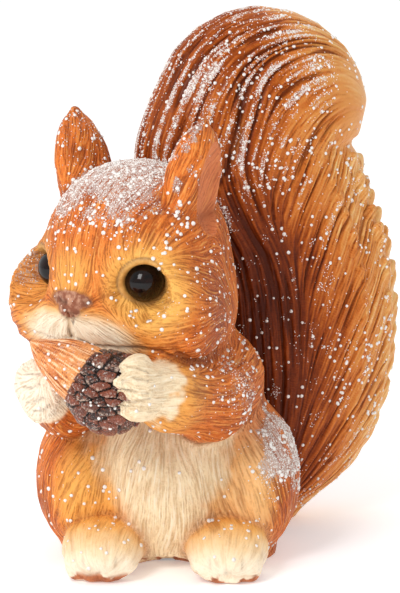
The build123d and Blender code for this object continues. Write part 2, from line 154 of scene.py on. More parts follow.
def smin(k):
    def f(a, b):
        if k <= 0:
            return np.minimum(a, b)
        h = np.clip(0.5 + 0.5 * (b - a) / k, 0, 1)
        return b * (1 - h) + a * h - k * h * (1 - h)
    return f


def smax(k):
    g = smin(k)
    return lambda a, b: -g(-a, b)        # b is what is taken away


def ell(c, r, k=4, R=None, cut=False):
    r, c = np.array(r, float), np.array(c, float)

    def f(x, y, z):
        x, y, z = x - c[0], y - c[1], z - c[2]
        if R is None:
            u, v, w = x, y, z
        else:
            u, v, w = (R[0, i] * x + R[1, i] * y + R[2, i] * z for i in range(3))
        k0 = np.sqrt((u / r[0]) ** 2 + (v / r[1]) ** 2 + (w / r[2]) ** 2)
        k1 = np.sqrt((u / r[0] ** 2) ** 2 + (v / r[1] ** 2) ** 2 + (w / r[2] ** 2) ** 2) + 1e-9
        return k0 * (k0 - 1) / k1
    return {"c": c, "reach": r.max(), "f": f, "join": smax(k) if cut else smin(k), "k": k, "cut": cut}


def cone(a, b, ra, rb, k=4, flat=None, fr=1.0, cut=False):
    a, b = np.array(a, float), np.array(b, float)

    def f(x, y, z):
        p = [x - a[0], y - a[1], z - a[2]]
        ba = b - a
        if flat is not None:
            n = unit(flat)
            t = p[0] * n[0] + p[1] * n[1] + p[2] * n[2]
            g = 1 / fr - 1
            p = [p[i] + t * n[i] * g for i in range(3)]
            ba = ba + (ba @ n) * n * g
        t = np.clip((p[0] * ba[0] + p[1] * ba[1] + p[2] * ba[2]) / (ba @ ba), 0, 1)
        d = np.sqrt((p[0] - t * ba[0]) ** 2 + (p[1] - t * ba[1]) ** 2 + (p[2] - t * ba[2]) ** 2) - (ra + (rb - ra) * t)
        return d * (fr if flat is not None else 1)
    return {"c": (a + b) / 2, "reach": np.abs(b - a).max() / 2 + max(ra, rb), "f": f, "join": smax(k) if cut else smin(k), "k": k, "cut": cut}


def rbox(x0, x1, y0, y1, z0, z1, r, k=0.3, cut=False, ez=0.4):
    """upright box with rounded plan corners"""
    cx, cy, cz = (x0 + x1) / 2, (y0 + y1) / 2, (z0 + z1) / 2

    def f(x, y, z):
        ax, ay = np.abs(x - cx) - (x1 - x0) / 2 + r, np.abs(y - cy) - (y1 - y0) / 2 + r
        d = np.sqrt(np.maximum(ax, 0) ** 2 + np.maximum(ay, 0) ** 2) + np.minimum(np.maximum(ax, ay), 0) - r
        e = np.abs(z - cz) - (z1 - z0) / 2
        return np.sqrt(np.maximum(d + ez, 0) ** 2 + np.maximum(e + ez, 0) ** 2) + np.minimum(np.maximum(d + ez, e + ez), 0) - ez
    return {"c": vec(cx, cy, cz), "reach": max(x1 - x0, y1 - y0, z1 - z0) / 2, "f": f, "join": smax(k) if cut else smin(k), "k": k, "cut": cut}


def field(prims, p):
    """value of a list of primitives at loose points"""
    x, y, z = (p[:, i].astype(F4) for i in range(3))
    phi = np.full(len(p), 40.0, F4)
    for q in prims:
        phi = q["join"](phi, q["f"](x, y, z))
    return phi


def rot(yaw=0, pitch=0, roll=0):
    cy, sy, cp, sp, cr, sr = (f(math.radians(a)) for a in (yaw, pitch, roll) for f in (math.cos, math.sin))
    return np.array([[cy, -sy, 0], [sy, cy, 0], [0, 0, 1]]) @ np.array([[1, 0, 0], [0, cp, -sp], [0, sp, cp]]) @ np.array([[cr, 0, sr], [0, 1, 0], [-sr, 0, cr]])


# ------------------------------------------------------------------ noise and strokes that follow a direction
NV = RNG.random((64, 64, 64)).astype(F4)
NVF = NV.reshape(-1)


def noise(p, cell, shift=0.0):
    q = p / cell + 1000.0 + shift
    i = np.floor(q).astype(np.int64)
    f = (q - i).astype(F4)
    f = f * f * (3 - 2 * f)
    out = 0
    for dx in (0, 1):
        wx = f[:, 0] if dx else 1 - f[:, 0]
        ix = ((i[:, 0] + dx) & 63) * 4096
        for dy in (0, 1):
            wy = f[:, 1] if dy else 1 - f[:, 1]
            iy = ((i[:, 1] + dy) & 63) * 64
            for dz in (0, 1):
                w = wx * wy * (f[:, 2] if dz else 1 - f[:, 2])
                out = out + NVF[ix + iy + ((i[:, 2] + dz) & 63)] * w
    return out


def fbm(p, cell, n=3, shift=0.0):
    out, amp, tot = 0, 1.0, 0
    for k in range(n):
        out = out + amp * noise(p, cell / 2 ** k, shift + 17.3 * k)
        tot += amp
        amp *= 0.55
    return out / tot


class Flow:
    """direction field held on a coarse grid"""
    def __init__(self, g, fn, h=2.2):
        self.c = Grid(g.lo, g.lo + g.h * (g.n - 1), h)
        P = np.stack(np.meshgrid(*self.c.ax, indexing="ij"), -1).reshape(-1, 3)
        self.v = fn(P).astype(F4).reshape(*self.c.n, 3)
        step = max(1, int(round(1.2 / g.h)))
        sub = g.phi[::step, ::step, ::step]
        gr = np.stack(np.gradient(sub.astype(F4)), -1)
        gr /= np.maximum(np.linalg.norm(gr, axis=-1, keepdims=True), 1e-6)
        self.g = Grid(g.lo, g.lo + g.h * (g.n - 1), g.h * step)
        self.g.n = np.array(sub.shape)
        self.nv = np.ascontiguousarray(gr)
        self.base = g

    def at(self, p):
        d = sample(self.c, p, self.v)
        n = sample(self.g, p, self.nv)
        n = n / np.maximum(np.linalg.norm(n, axis=1, keepdims=True), 1e-6)
        d = d - (d * n).sum(1, keepdims=True) * n
        return d / np.maximum(np.linalg.norm(d, axis=1, keepdims=True), 1e-6), n

    def strokes(self, P, cells, half, step):
        """for each cell size, the noise averaged along the stroke through each point, as a z-score"""
        acc = [noise(P, c, 7.7 * i) for i, c in enumerate(cells)]
        for s in (1, -1):
            p = P.copy()
            for k in range(1, int(half / step) + 1):
                d, n = self.at(p)
                p = p + s * step * d
                p = p - np.clip(sample(self.base, p), -0.4, 0.4)[:, None] * n * 0.8
                w = 0.5 + 0.5 * math.cos(math.pi * k * step / (half + step))
                acc = [a + w * noise(p, c, 7.7 * i) for i, (a, c) in enumerate(zip(acc, cells))]
        return [(a - a.mean()) / a.std() for a in acc]


def make_mesh(name, v, q, smooth_shade=True):
    """mesh object from working-frame millimetres"""
    m = bpy.data.meshes.new(name)
    m.vertices.add(len(v))
    m.vertices.foreach_set("co", ((v + OFF) * 0.001).astype(F4).ravel())
    n = q.shape[1]
    m.loops.add(len(q) * n)
    m.polygons.add(len(q))
    m.loops.foreach_set("vertex_index", q.astype(np.int32).ravel())
    m.polygons.foreach_set("loop_start", np.arange(0, len(q) * n, n, dtype=np.int32))
    m.update(calc_edges=True)
    if smooth_shade:
        m.shade_smooth()
    o = bpy.data.objects.new(name, m)
    bpy.context.scene.collection.objects.link(o)
    return o


def paint(o, name, cols):
    a = o.data.attributes.new(name, "FLOAT_COLOR", "POINT")
    c = np.stack([np.broadcast_to(x, (len(o.data.vertices),)) for x in cols], -1).astype(F4)
    a.data.foreach_set("color", c.ravel())


def run_along(o, d):
    """direction of the strokes at each vertex"""
    a = o.data.attributes.new("run", "FLOAT_VECTOR", "POINT")
    a.data.foreach_set("vector", d.astype(F4).ravel())


def vnormals(v, q):
    e1, e2 = v[q[:, 2]] - v[q[:, 0]], v[q[:, 3]] - v[q[:, 1]]
    fn = np.cross(e1, e2)
    out = np.zeros_like(v)
    for k in range(4):
        for c in range(3):
            out[:, c] += np.bincount(q[:, k], fn[:, c], len(v))
    return unit(out)


def blur(val, q, n, times=1):
    """mean with the neighbours over a quad mesh"""
    for _ in range(times):
        s, w = np.zeros(n), np.zeros(n)
        for k in range(4):
            for j in (1, 3):
                s += np.bincount(q[:, k], val[q[:, (k + j) % 4]], n)
                w += np.bincount(q[:, k], minlength=n)
        val = 0.5 * val + 0.5 * s / np.maximum(w, 1)
    return val


# ------------------------------------------------------------------ frames of the head, ears and tail
YAW = 40.0
sY, cY = math.sin(math.radians(YAW)), math.cos(math.radians(YAW))
Fv, Lv, Zv = vec(-sY, -cY, 0), vec(cY, -sY, 0), vec(0, 0, 1)
HC = vec(-9.0, -17.0, 0.0)


def hp(l, f, z):
    return HC + Lv * l + Fv * f + Zv * z


def frame_of(l, f, z):
    w = unit(Lv * l + Fv * f + Zv * z)
    u = unit(Lv - w * (Lv @ w))
    return np.stack([u, np.cross(w, u), w], 1)


RH = np.stack([Lv, -Fv, Zv], 1)
PHI = math.radians(57.0)
sP, cP = math.sin(PHI), math.cos(PHI)
Tv, Nv = vec(sP, cP, 0), vec(cP, -sP, 0)
T0P = vec(20, 30, 0)

# ------------------------------------------------------------------ body masses
G_TORSO = [
    ell((0, 5, 27), (41, 40, 36), 0), ell((0, -1, 57), (29, 29, 30), 10),
    ell((27.2, -10, 27), (17.3, 24.5, 25.5), 5), ell((-27.2, -10, 27), (17.3, 24.5, 25.5), 5),
    ell((0, -17, 30), (21, 24.5, 31), 5), rbox(-36.5, 36.5, -27, 35, -4, 7.0, 22, 4, ez=2.0)]
G_FEET = [p for s in (-1, 1) for p in (
    ell((s * 20.6, -33, 8.0), (13.6, 16.5, 10.4), 2.5),)]
G_HEAD = [
    ell(hp(0, 1, 104.5), (31, 31, 31), 8, RH), ell(hp(0, 2, 87), (35.2, 31, 22), 10, RH)]
for s in (-1, 1):
    G_HEAD += [ell(hp(s * 26, 13, 88), (15.6, 16.4, 18.4), 8, RH), ell(hp(s * 8.0, 21.6, 84.4), (11.2, 10.4, 8.2), 3.0, RH)]
G_HEAD += [ell(hp(0, 24.6, 91.0), (8.4, 8.2, 7.2), 4, RH), ell(hp(0.6, 30.0, 93.3), (8.6, 3.4, 3.0), 0.8, RH),
           ell(hp(0.6, 30.9, 90.8), (4.9, 2.9, 3.6), 1.0, RH), ell(hp(0, 22.3, 77), (9, 9, 6), 2.5, RH)]
G_EARS, EAR_R = [], {}
for s in (-1, 1):
    R = frame_of(s * 7, 0, 29)
    EAR_R[s] = R
    G_EARS += [ell(hp(s * 24, 1, 129.0), (6.6, 11.8, 20.5), 3, R),
               cone(hp(s * 24.5, 1.5, 132), hp(s * 28.8, 0.5, 149.0), 9.2, 2.4, 2, flat=R[:, 0], fr=0.55)]
EAR_AT = {s: hp(s * 32.0, -3.6, 129.5) for s in (-1, 1)}
EAR_CUT = [ell(EAR_AT[s], (6.0, 7.6, 16.6), 0.8, EAR_R[s], cut=True) for s in (-1, 1)]
# acorn: cap centre, axis from the tip to the cap, tip
ACC = vec(-15.6, -66.0, 67.8)
ACU = unit((0.843, -0.267, -0.469))
TIP = ACC - ACU * 30.6
G_ARMR = [cone((19.5, -12, 62), (15.0, -37.5, 58.6), 12.6, 12.0, 8), cone((15.0, -37.5, 58.6), (2.5, -56, 63.8), 12.0, 10.6, 4),
          cone((2.5, -56, 64.2), (-5.0, -64.5, 69.0), 10.3, 8.6, 3)]
G_ARML = [cone((-22, -13, 60), (-33, -31, 55), 12, 9, 5), cone((-33, -31, 55), (-38, -45, 61), 8.8, 7.8, 4),
          ell((-39.8, -50, 65.2), (7.4, 8.3, 9.9), 3, rot(roll=-18))]
# fingers of the near paw lie over the cap and end in blunt points
FINGERS = []
for zt, aw, ln in ((77.6, 30, 50), (73.0, 15, 58), (68.2, 12, 60), (63.4, 19, 50)):
    dz = (zt - ACC[2]) / 14.4
    ring = math.sqrt(1 - dz * dz)
    pts = []
    for k in range(4):
        az = math.radians(aw + ln * (1 - k / 3.0))
        pts.append(ACC + 13.0 * vec(math.sin(az) * ring, -math.cos(az) * ring, dz + 0.02 * k))
    for k, (ra, rb) in enumerate(((3.4, 3.0), (3.0, 2.3), (2.3, 0.9))):
        FINGERS.append(cone(pts[k], pts[k + 1], ra, rb, 2.2))
NFR = len(FINGERS)
for dz, dx in ((5.6, 0.6), (1.4, 1.6), (-2.8, 1.4), (-6.6, 0.2)):
    a = vec(-39.4 + dx, -55.0, 65.6 + dz)
    FINGERS.append(cone(a, a + vec(2.4, -0.6, 0.6), 3.0, 2.4, 3.0))
# toes: low swellings, parted by shallow grooves
TOES = []
for s in (-1, 1):
    for dx, dy in ((-8.0, 1.8), (-2.7, 0.0), (2.7, 0.0), (8.0, 1.8)):
        TOES.append(ell((s * 20.6 + dx, -44.6 + dy, 5.2), (3.8, 4.6, 5.3), 2.6))
ARCH = ell((0, -40, -0.6), (14.5, 22, 5.4), 1.0, cut=True)
EYE_C = {s: hp(s * 22.3, 21.0, 99.0) for s in (-1, 1)}
EYE_A = {s: unit(EYE_C[s] - hp(0, 1, 103.5)) for s in (-1, 1)}
EYE_C = {s: EYE_C[s] - 3.4 * EYE_A[s] for s in (-1, 1)}
EYE_R = 6.4


# ------------------------------------------------------------------ tail mass
ST = [(1, 43, 14, 9), (6, 48, 12, 12), (15, 60.5, 9, 17), (27, 69.2, 8, 20), (40, 74.2, 7.5, 22), (56, 77, 7, 24),
      (72, 77.8, 5, 25), (86, 76.8, 3.5, 25), (98, 74.4, 0.5, 25), (111, 69.0, -6.5, 25), (122, 65.6, -11, 25.5),
      (130.5, 62.4, -13, 26), (139, 65.2, -11.9, 26), (149, 67.4, -8.5, 26), (159, 64.6, -4, 24),
      (168, 59.2, 0.5, 20.5), (175.5, 50.5, 8.5, 15), (180, 41.5, 17.5, 8.5), (181.8, 33, 26, 3.5)]
_zs = np.linspace(0, 182, 365)


def _curve(i, sig=5):
    y = np.interp(_zs, [r[0] for r in ST], [r[i] for r in ST])
    k = np.exp(-0.5 * (np.arange(-20, 21) / sig) ** 2)
    yp = np.concatenate([np.full(20, y[0]), y, np.full(20, y[-1])])
    ys = np.convolve(yp, k / k.sum(), "valid")
    w = smooth(160, 175, _zs)                     # the crown keeps its tabled curve
    return ys * (1 - w) + y * w


_xr, _xl, _b = _curve(1, 3), _curve(2), _curve(3)
_half = (_xr - _xl) / 2
_tc = ((_xr + _xl) / 2 - 20) / sP
_aa = np.sqrt(np.maximum(_half ** 2 - (cP * _b) ** 2, (0.5 * _half) ** 2)) / sP


def tail_tnz(x, y):
    return (x - T0P[0]) * sP + (y - T0P[1]) * cP, (x - T0P[0]) * cP - (y - T0P[1]) * sP


def tail_f(x, y, z):
    t, n = tail_tnz(x, y)
    tc, aa, bb = (np.interp(z, _zs, q) for q in (_tc, _aa, _b))
    q0 = np.sqrt(((t - tc) / aa) ** 2 + (n / bb) ** 2) + 1e-6
    q1 = np.sqrt(((t - tc) / aa ** 2) ** 2 + (n / bb ** 2) ** 2) + 1e-6
    d = q0 * (q0 - 1) / q1
    return np.maximum(d, np.maximum(z - 181.8, 0.6 - z))


TAIL = {"c": vec(36, 36, 91), "reach": 110, "f": tail_f, "join": smin(0), "k": 0, "cut": False}
TAIL_CUT = dict(TAIL, join=smax(0), f=lambda x, y, z: tail_f(x, y, z) - 0.1)

# ------------------------------------------------------------------ body: field and mesh
gb = Grid((-60, -78, -3.6), (52, 50, 158), 0.62)
for p in G_TORSO + G_FEET + G_HEAD + G_EARS + EAR_CUT + G_ARMR + G_ARML + FINGERS + TOES + [ARCH]:
    gb.put(p)
for s in (-1, 1):
    gb.put(ell(EYE_C[s] + EYE_A[s] * 10.5 + Fv * 4.4 - Lv * (s * 1.8), (11.0, 11.0, 10.6), 2.4, cut=True))     # hollow beside the bridge of the nose
    gb.put(ell(EYE_C[s] + EYE_A[s] * 5.2, (7.5, 7.5, 7.5), 0.8, cut=True))
    gb.put(ell(EYE_C[s], (EYE_R - 0.05,) * 3, 0.2, cut=True))
gb.put(ell(hp(-24.0, 29.2, 98.2), (11.4, 11.4, 9.6), 2.0, RH, cut=True))     # the far bead shows past the bridge
# groove between the lips
gb.put(cone(hp(0, 33.2, 88.5), hp(0, 31.4, 79.5), 0.8, 0.9, 0.9, cut=True))
# acorn seat
gb.put(ell(ACC, (12.4, 12.4, 12.4), 0.3, cut=True))
gb.put(cone(TIP + ACU * 5, TIP + ACU * 16, 2.6, 7.9, 0.3, cut=True))
gb.put(cone(TIP + ACU * 16, TIP + ACU * 28, 7.9, 9.2, 0.3, cut=True))
for q in FINGERS:                                   # the fingers lie over the acorn
    gb.put(q)
gb.put(TAIL_CUT)
zz = gb.coords((slice(None),) * 3)[2]
gb.phi = np.maximum(gb.phi, -zz).astype(F4)
gb.put(rbox(-32, 32, -18, 30, -6, 4.8, 10, 0, cut=True, ez=0.1))
gb.put(rbox(-27.5, 27.5, -16.6, 26.6, 0, 18.5, 3.2, 0, cut=True, ez=0.1))
print("body field", round(time.time() - T0, 1))
V, Q = gb.mesh()
NB = vnormals(V, Q)
print("body mesh", len(V), len(Q), round(time.time() - T0, 1))


# ------------------------------------------------------------------ body: which mass a point belongs to
def masses(P):
    g = np.stack([field(x, P) for x in (G_TORSO, G_FEET + TOES, G_HEAD, G_EARS, G_ARMR, G_ARML)], 1)
    g[:, 4] = np.minimum(g[:, 4], field(FINGERS[:NFR], P))
    g[:, 5] = np.minimum(g[:, 5], field(FINGERS[NFR:], P))
    return g


def headlocal(P):
    d = P - HC
    return d @ Lv, d @ Fv, P[:, 2]


def seg_dir(P, pts):
    """direction of the nearest segment of a polyline"""
    pts = [vec(*p) for p in pts]
    best, out = np.full(len(P), 1e9), np.zeros((len(P), 3))
    acc, wt = np.zeros((len(P), 3)), np.zeros(len(P))
    for a, b in zip(pts[:-1], pts[1:]):
        ba = b - a
        t = np.clip(((P - a) @ ba) / (ba @ ba), 0, 1)
        d = np.linalg.norm(P - a - t[:, None] * ba, axis=1)
        w = np.exp(-d / 3.0) + 1e-12
        acc += w[:, None] * unit(ba)
        wt += w
    return unit(acc / wt[:, None])


def fur_dir(P):
    g = masses(P)
    w = np.exp(-(g - g.min(1, keepdims=True)) / 1.6)
    w /= w.sum(1, keepdims=True)
    l, f, z = headlocal(P)
    # torso: down and a little outwards, curling round the haunches
    dT = np.stack([P[:, 0] * 0.012, P[:, 1] * 0.004, -np.ones(len(P))], 1)
    for sx in (-1, 1):
        c = vec(sx * 25, -10, 34)
        r = P - c
        wh = np.exp(-(np.linalg.norm(r, axis=1) / 26) ** 2)[:, None]
        dT = dT + wh * unit(r) * vec(0.9, 0.5, 0.9)
    # belly: out from the middle line
    wb = (smooth(-6, -22, P[:, 1]) * smooth(24, 12, np.abs(P[:, 0] + 1)))[:, None]
    dT = dT * (1 - 0.5 * wb) + wb * 0.8 * np.stack([np.sign(P[:, 0] + 1) * 0.35 * smooth(0, 12, np.abs(P[:, 0] + 1)), np.zeros(len(P)), -np.ones(len(P))], 1)
    dF = np.stack([0.1 * np.sign(P[:, 0]) + 0 * P[:, 0], -np.ones(len(P)), -0.35 * np.ones(len(P))], 1)
    # head: away from the nose, round the eyes, down the nape
    r = P - hp(0, 32, 88)
    dH = unit(r)
    for s in (-1, 1):
        re = P - EYE_C[s]
        de = np.linalg.norm(re, axis=1)
        we = (2.6 * np.exp(-((de - 6) / 9.0) ** 2))[:, None]
        dH = dH + we * unit(re)
    wn = smooth(4, -16, f)[:, None]
    dH = dH * (1 - wn) + wn * vec(0, 0, -1)
    wt = (smooth(112, 128, z) * smooth(26, 6, f))[:, None]
    dH = dH * (1 - 0.8 * wt) + 0.8 * wt * (-Fv)
    dE = np.zeros((len(P), 3)) + Zv
    for s in (-1, 1):
        ws = (np.sign(l) == s)[:, None]
        dE = np.where(ws, unit(EAR_R[s][:, 2] - 0.35 * Fv), dE)
    dR = seg_dir(P, [(22, 8, 66), (18, -14, 61), (15, -38, 57), (2.5, -56, 63.5), (-14, -70, 68)])
    dL = seg_dir(P, [(-22, 4, 66), (-23, -13, 60), (-33, -31, 55), (-38, -45, 62), (-36, -62, 68)])
    D = sum(w[:, i:i + 1] * d for i, d in enumerate((unit(dT), unit(dF), unit(dH), dE, dR, dL)))
    wob = np.stack([fbm(P, 9.0, 2, 3.0 + 31 * k) - 0.5 for k in range(3)], 1)
    return unit(D) + 0.75 * wob


flow = Flow(gb, fur_dir)
z1, z2 = flow.strokes(V, (0.95, 2.1), 6.0, 0.75)
print("strokes", round(time.time() - T0, 1))

G = masses(V)
W = np.exp(-(G - G.min(1, keepdims=True)) / 1.0)
W /= W.sum(1, keepdims=True)
wT, wF, wH, wE, wR, wL = (W[:, i] for i in range(6))
l, f, z = headlocal(V)
px, dep = project(V)
X, Y, Z = V[:, 0], V[:, 1], V[:, 2]
big = fbm(V, 14.0, 2, 5.0)
mid = fbm(V, 4.0, 2, 9.0)

# places with their own finish
ear_in = np.zeros(len(V))
for s in (-1, 1):
    q = V - EAR_AT[s]
    u, v_, w_ = q @ EAR_R[s][:, 0], q @ EAR_R[s][:, 1], q @ EAR_R[s][:, 2]
    rr = np.sqrt((u / 6.3) ** 2 + (v_ / 7.9) ** 2 + (w_ / 16.9) ** 2)
    ear_in = np.maximum(ear_in, smooth(1.05, 0.99, rr))
nose = np.maximum(np.exp(-np.maximum((((l - 0.6) / 8.4) ** 2 + ((f - 31.4) / 4.4) ** 2 + ((z - 93.1) / 3.2) ** 2) - 1, 0) * 6),
                  np.exp(-np.maximum((((l - 0.6) / 4.9) ** 2 + ((f - 32.3) / 4.2) ** 2 + ((z - 90.7) / 3.6) ** 2) - 1, 0) * 6)) * wH
nose_rim = np.exp(-((nose - 0.35) / 0.22) ** 2) * (nose > 0.02)
nose = smooth(0.35, 0.75, nose)
disp_nostril = np.zeros(len(V))
for s in (-1, 1):
    disp_nostril = np.maximum(disp_nostril, np.exp(-(np.linalg.norm(V - hp(0.6 + s * 6.3, 32.0, 92.4), axis=1) / 1.6) ** 2))
flat_bottom = smooth(0.25, 0.05, Z) * (NB[:, 2] < -0.7)
recess = (np.abs(X) < 32.6) & (Y > -18.6) & (Y < 30.6) & (Z < 19) & (((np.abs(X) < 27.8) & (Z > 4)) | (Z < 5)) & (NB[:, 2] < 0.99)
recess &= (np.abs(X) < 32.6) & ((Z < 5.2) | (np.abs(X) < 28))
plain = flat_bottom + recess.astype(float)
plain = np.clip(plain, 0, 1)

lid = np.zeros(len(V))
lidline = np.zeros(len(V))
disp = np.zeros(len(V))
rad_eye = np.full(len(V), 99.0)
for s in (-1, 1):
    q = V - EYE_C[s]
    ax_ = EYE_A[s]
    h = q @ ax_
    perp = q - h[:, None] * ax_
    up_ = unit(Zv - (Zv @ ax_) * ax_)
    side = np.cross(up_, ax_)
    a_, b_ = perp @ side, perp @ up_
    # the lid is wider above the bead, and towards the nose
    rr = np.linalg.norm(perp, axis=1)
    c_, s_ = a_ / np.maximum(rr, 1e-6), b_ / np.maximum(rr, 1e-6)
    tow = float(np.sign(side @ (hp(0, 32, 93) - EYE_C[s])))
    inw = np.clip(0.75 * s_ + 0.66 * c_ * tow, -1, 1)          # 1 up and towards the nose
    outer = 6.75 + 2.3 * smooth(-0.55, 0.8, inw)
    near = (h > -6) & (rr < 14)
    x_ = np.where(near, rr - outer, 9)
    lid = np.maximum(lid, np.where(near, smooth(0.5, -0.5, x_) * smooth(5.0, 6.1, rr) * smooth(6.5, 4.5, h), 0))
    lidline = np.maximum(lidline, np.where(near, np.exp(-(x_ / 0.36) ** 2) * (0.15 + 0.6 * smooth(-0.2, 0.8, inw)), 0))
    disp += np.where(near, 0.65 * np.exp(-((rr - (6.5 + outer) / 2) / 1.0) ** 2) * smooth(-0.6, 0.6, inw) - 0.35 * np.exp(-(x_ / 0.5) ** 2), 0)
    rad_eye = np.minimum(rad_eye, np.where(h > -10, rr, 99))


# creases drawn as lines on the surface, by pixel on the near side and mirrored in the head's plane
def pick(x, y):
    d = np.hypot(px[:, 0] - x, px[:, 1] - y)
    i = np.where(d < 2.0)[0]
    if not len(i):
        i = [int(np.argmin(d))]
    return V[i[int(np.argmin(dep[i]))]]


def line(points, width, mirror=False):
    """how strongly each vertex lies on a polyline"""
    pts = [pick(*p) if len(p) == 2 else np.array(p, float) for p in points]
    sets = [pts]
    if mirror:
        sets.append([HC + Lv * -((p - HC) @ Lv) + Fv * ((p - HC) @ Fv) + Zv * p[2] for p in pts])
    out = np.zeros(len(V))
    for ps in sets:
        lo, hi = np.min(ps, 0) - 4, np.max(ps, 0) + 4
        i = np.where(((V > lo) & (V < hi)).all(1))[0]
        P = V[i]
        d = np.full(len(i), 9.0)
        for a, b in zip(ps[:-1], ps[1:]):
            ba = b - a
            t = np.clip(((P - a) @ ba) / max(ba @ ba, 1e-6), 0, 1)
            d = np.minimum(d, np.linalg.norm(P - a - t[:, None] * ba, axis=1))
        out[i] = np.maximum(out[i], np.exp(-(d / width) ** 2))
    return out


mouth = line([(72, 338), (80, 342), (88, 346), (100, 348), (118, 349), (140, 349), (160, 353), (178, 360)], 0.7, True)
phil = line([(71.5, 317), (71, 322), (71, 330), (71.5, 338)], 0.55)
# fold under the near cheek: carved in, and darkened as the painted shadow of the cheek
jowl_fold_shadow = line([(176, 353), (186, 359), (198, 362), (208, 359), (219, 350)], 1.2)
mouth = mouth * (1 - 0.65 * smooth(0, -6, l))
disp += -0.9 * mouth * wH - 0.5 * phil * wH - 0.9 * disp_nostril - 1.1 * jowl_fold_shadow
marks = np.maximum(np.maximum(0.75 * mouth * wH, 0.85 * phil * wH), 0.5 * jowl_fold_shadow)
marks = np.maximum(marks, 0.8 * disp_nostril)
nostril = np.maximum(line([(57.5, 299), (60, 302), (64, 303)], 0.85), 0.8 * line([(86, 302), (89, 304)], 0.7))
disp -= 0.7 * nostril
marks = np.maximum(marks, 0.9 * nostril)
marks = np.maximum(marks, 0.6 * line([(62, 308), (67, 313), (73, 315), (80, 312), (86, 307)], 0.55))
marks = np.maximum(marks, 0.62 * nose_rim * wH)
fine = np.zeros(len(V))
for ln in ([(128, 365), (138, 367), (150, 371)], [(122, 379), (136, 379), (150, 381)], [(121, 391), (134, 393), (150, 392)], [(128, 402), (140, 402), (152, 399)],
           [(24, 373), (31, 375), (38, 374)], [(22, 388), (31, 389), (40, 386)], [(25, 402), (34, 402), (44, 398)], [(32, 412), (40, 412), (50, 407)]):
    fine = np.maximum(fine, line(ln, 0.4))
for s in (-1, 1):
    for dx in (-5.4, 0.0, 5.4):
        fine = np.maximum(fine, 0.6 * line([(s * 20.6 + dx, -45.5, 11.5), (s * 20.6 + dx, -48.5, 8), (s * 20.6 + dx, -49.5, 4), (s * 20.6 + dx, -48.8, 0)], 0.55))
disp += -0.4 * fine
marks = np.maximum(marks, 0.45 * fine)

# strokes: deeper on back and head, lighter on the muzzle, paws and in the ears
wrist = (V - vec(2.5, -56, 63.5)) @ unit((-0.62, -0.68, 0.38))
paw = np.maximum(smooth(-1.5, 12.5, wrist + (mid - 0.5) * 12 - 0.35 * np.maximum(64 - Z, 0)) * wR * smooth(-34, -46, Y), smooth(17, 10, np.linalg.norm(V - vec(-40.4, -52, 65.6), axis=1)) * wL)
amp = 1.0 - 0.45 * paw - 0.65 * ear_in - 0.85 * nose - 0.9 * lid - 0.35 * smooth(22, 28, f) * wH - 0.3 * wF
amp = np.clip(amp, 0.05, 1) * (1 - plain) * smooth(0.0, 2.5, Z)
disp += amp * (0.16 * np.tanh(z1 * 0.9) + 0.20 * np.tanh(z2 * 0.9)) - 0.08 * amp
disp += 0.25 * (mid - 0.5) * (1 - plain) * (1 - lid)
disp *= 1 - plain

# paint masks
hw = np.interp(Z, [2, 6, 16, 30, 44, 54, 62], [10.5, 10, 12, 17.5, 22, 24, 18])
cream = smooth(5.5, -5.5, np.abs(X + 1) - hw - 2.2 * (X > 0) + (mid - 0.5) * 7 + (z2) * 0.8) * smooth(-8, -16, Y) * wT * smooth(64, 58, Z)
muz = ((l) / 24) ** 2 + ((f - 28) / 15) ** 2 + ((z - 80.5) / 9.5) ** 2
cream = np.maximum(cream, smooth(1.5, 0.55, muz + (mid - 0.5) * 0.4) * wH * smooth(91.5, 87, z))
cream = np.maximum(cream, smooth(0.15, 0.75, paw))
foot_c = smooth(27.0, 8.0, Z + (Y + 49) * 0.50 + (mid - 0.5) * 5) * wF
cream = np.maximum(cream, foot_c * 0.95)
white = np.clip(0.9 * paw * wL + 0.25 * paw * wR + 0.95 * smooth(13, 5, Z + (mid - 0.5) * 4) * wF + 0.7 * smooth(1.2, 0.4, muz) * wH * smooth(90, 86, z), 0, 1)
throat = smooth(0.5, 1.0, smooth(20, 12, np.abs(X + 6)) * smooth(60, 64, Z) * smooth(-22, -30, Y)) * wT
cream = np.maximum(cream, throat)
cream = np.maximum(cream, lid * 0.3)
yellow = np.exp(-((rad_eye - 8) / 6.0) ** 2) * (rad_eye > 6) * wH * (1 - 0.6 * smooth(-12, -20, l))
yellow = np.maximum(yellow, 0.6 * smooth(12, 4, np.abs(l)) * smooth(22, 28, f) * smooth(88, 94, z) * smooth(114, 104, z) * wH)
yellow = np.maximum(yellow, 0.75 * smooth(1.1, 0.2, ((np.abs(X) - 24) / 15) ** 2 + ((Z - 26) / 24) ** 2) * smooth(-10, -22, Y) * wT)
yellow = np.maximum(yellow, 1.0 * wF)
cream = np.maximum(cream, 0.30 * smooth(16, 8, np.abs(X - 22)) * smooth(60, 40, Z) * smooth(-8, -20, Y) * wT)
yellow = np.maximum(yellow, 0.6 * smooth(2.1, 0.9, muz) * wH)
yellow = np.maximum(yellow, 0.62 * smooth(-13, 4, wrist) * wR)
# deeper orange: partly the paint's own darker tone on the head sides, outer haunches and at random, partly painted
# shade on surfaces facing back and to the right
deep_and_shade = 0.40 * smooth(-0.1, 0.6, NB[:, 1]) + 0.22 * smooth(0.4, 1.0, NB[:, 0])
deep_and_shade = np.maximum(deep_and_shade, 0.5 * smooth(24, 36, np.abs(l)) * smooth(22, 8, f) * wH)
deep_and_shade = np.maximum(deep_and_shade, 0.45 * smooth(36, 44, np.abs(X)) * smooth(40, 20, Z) * wT)
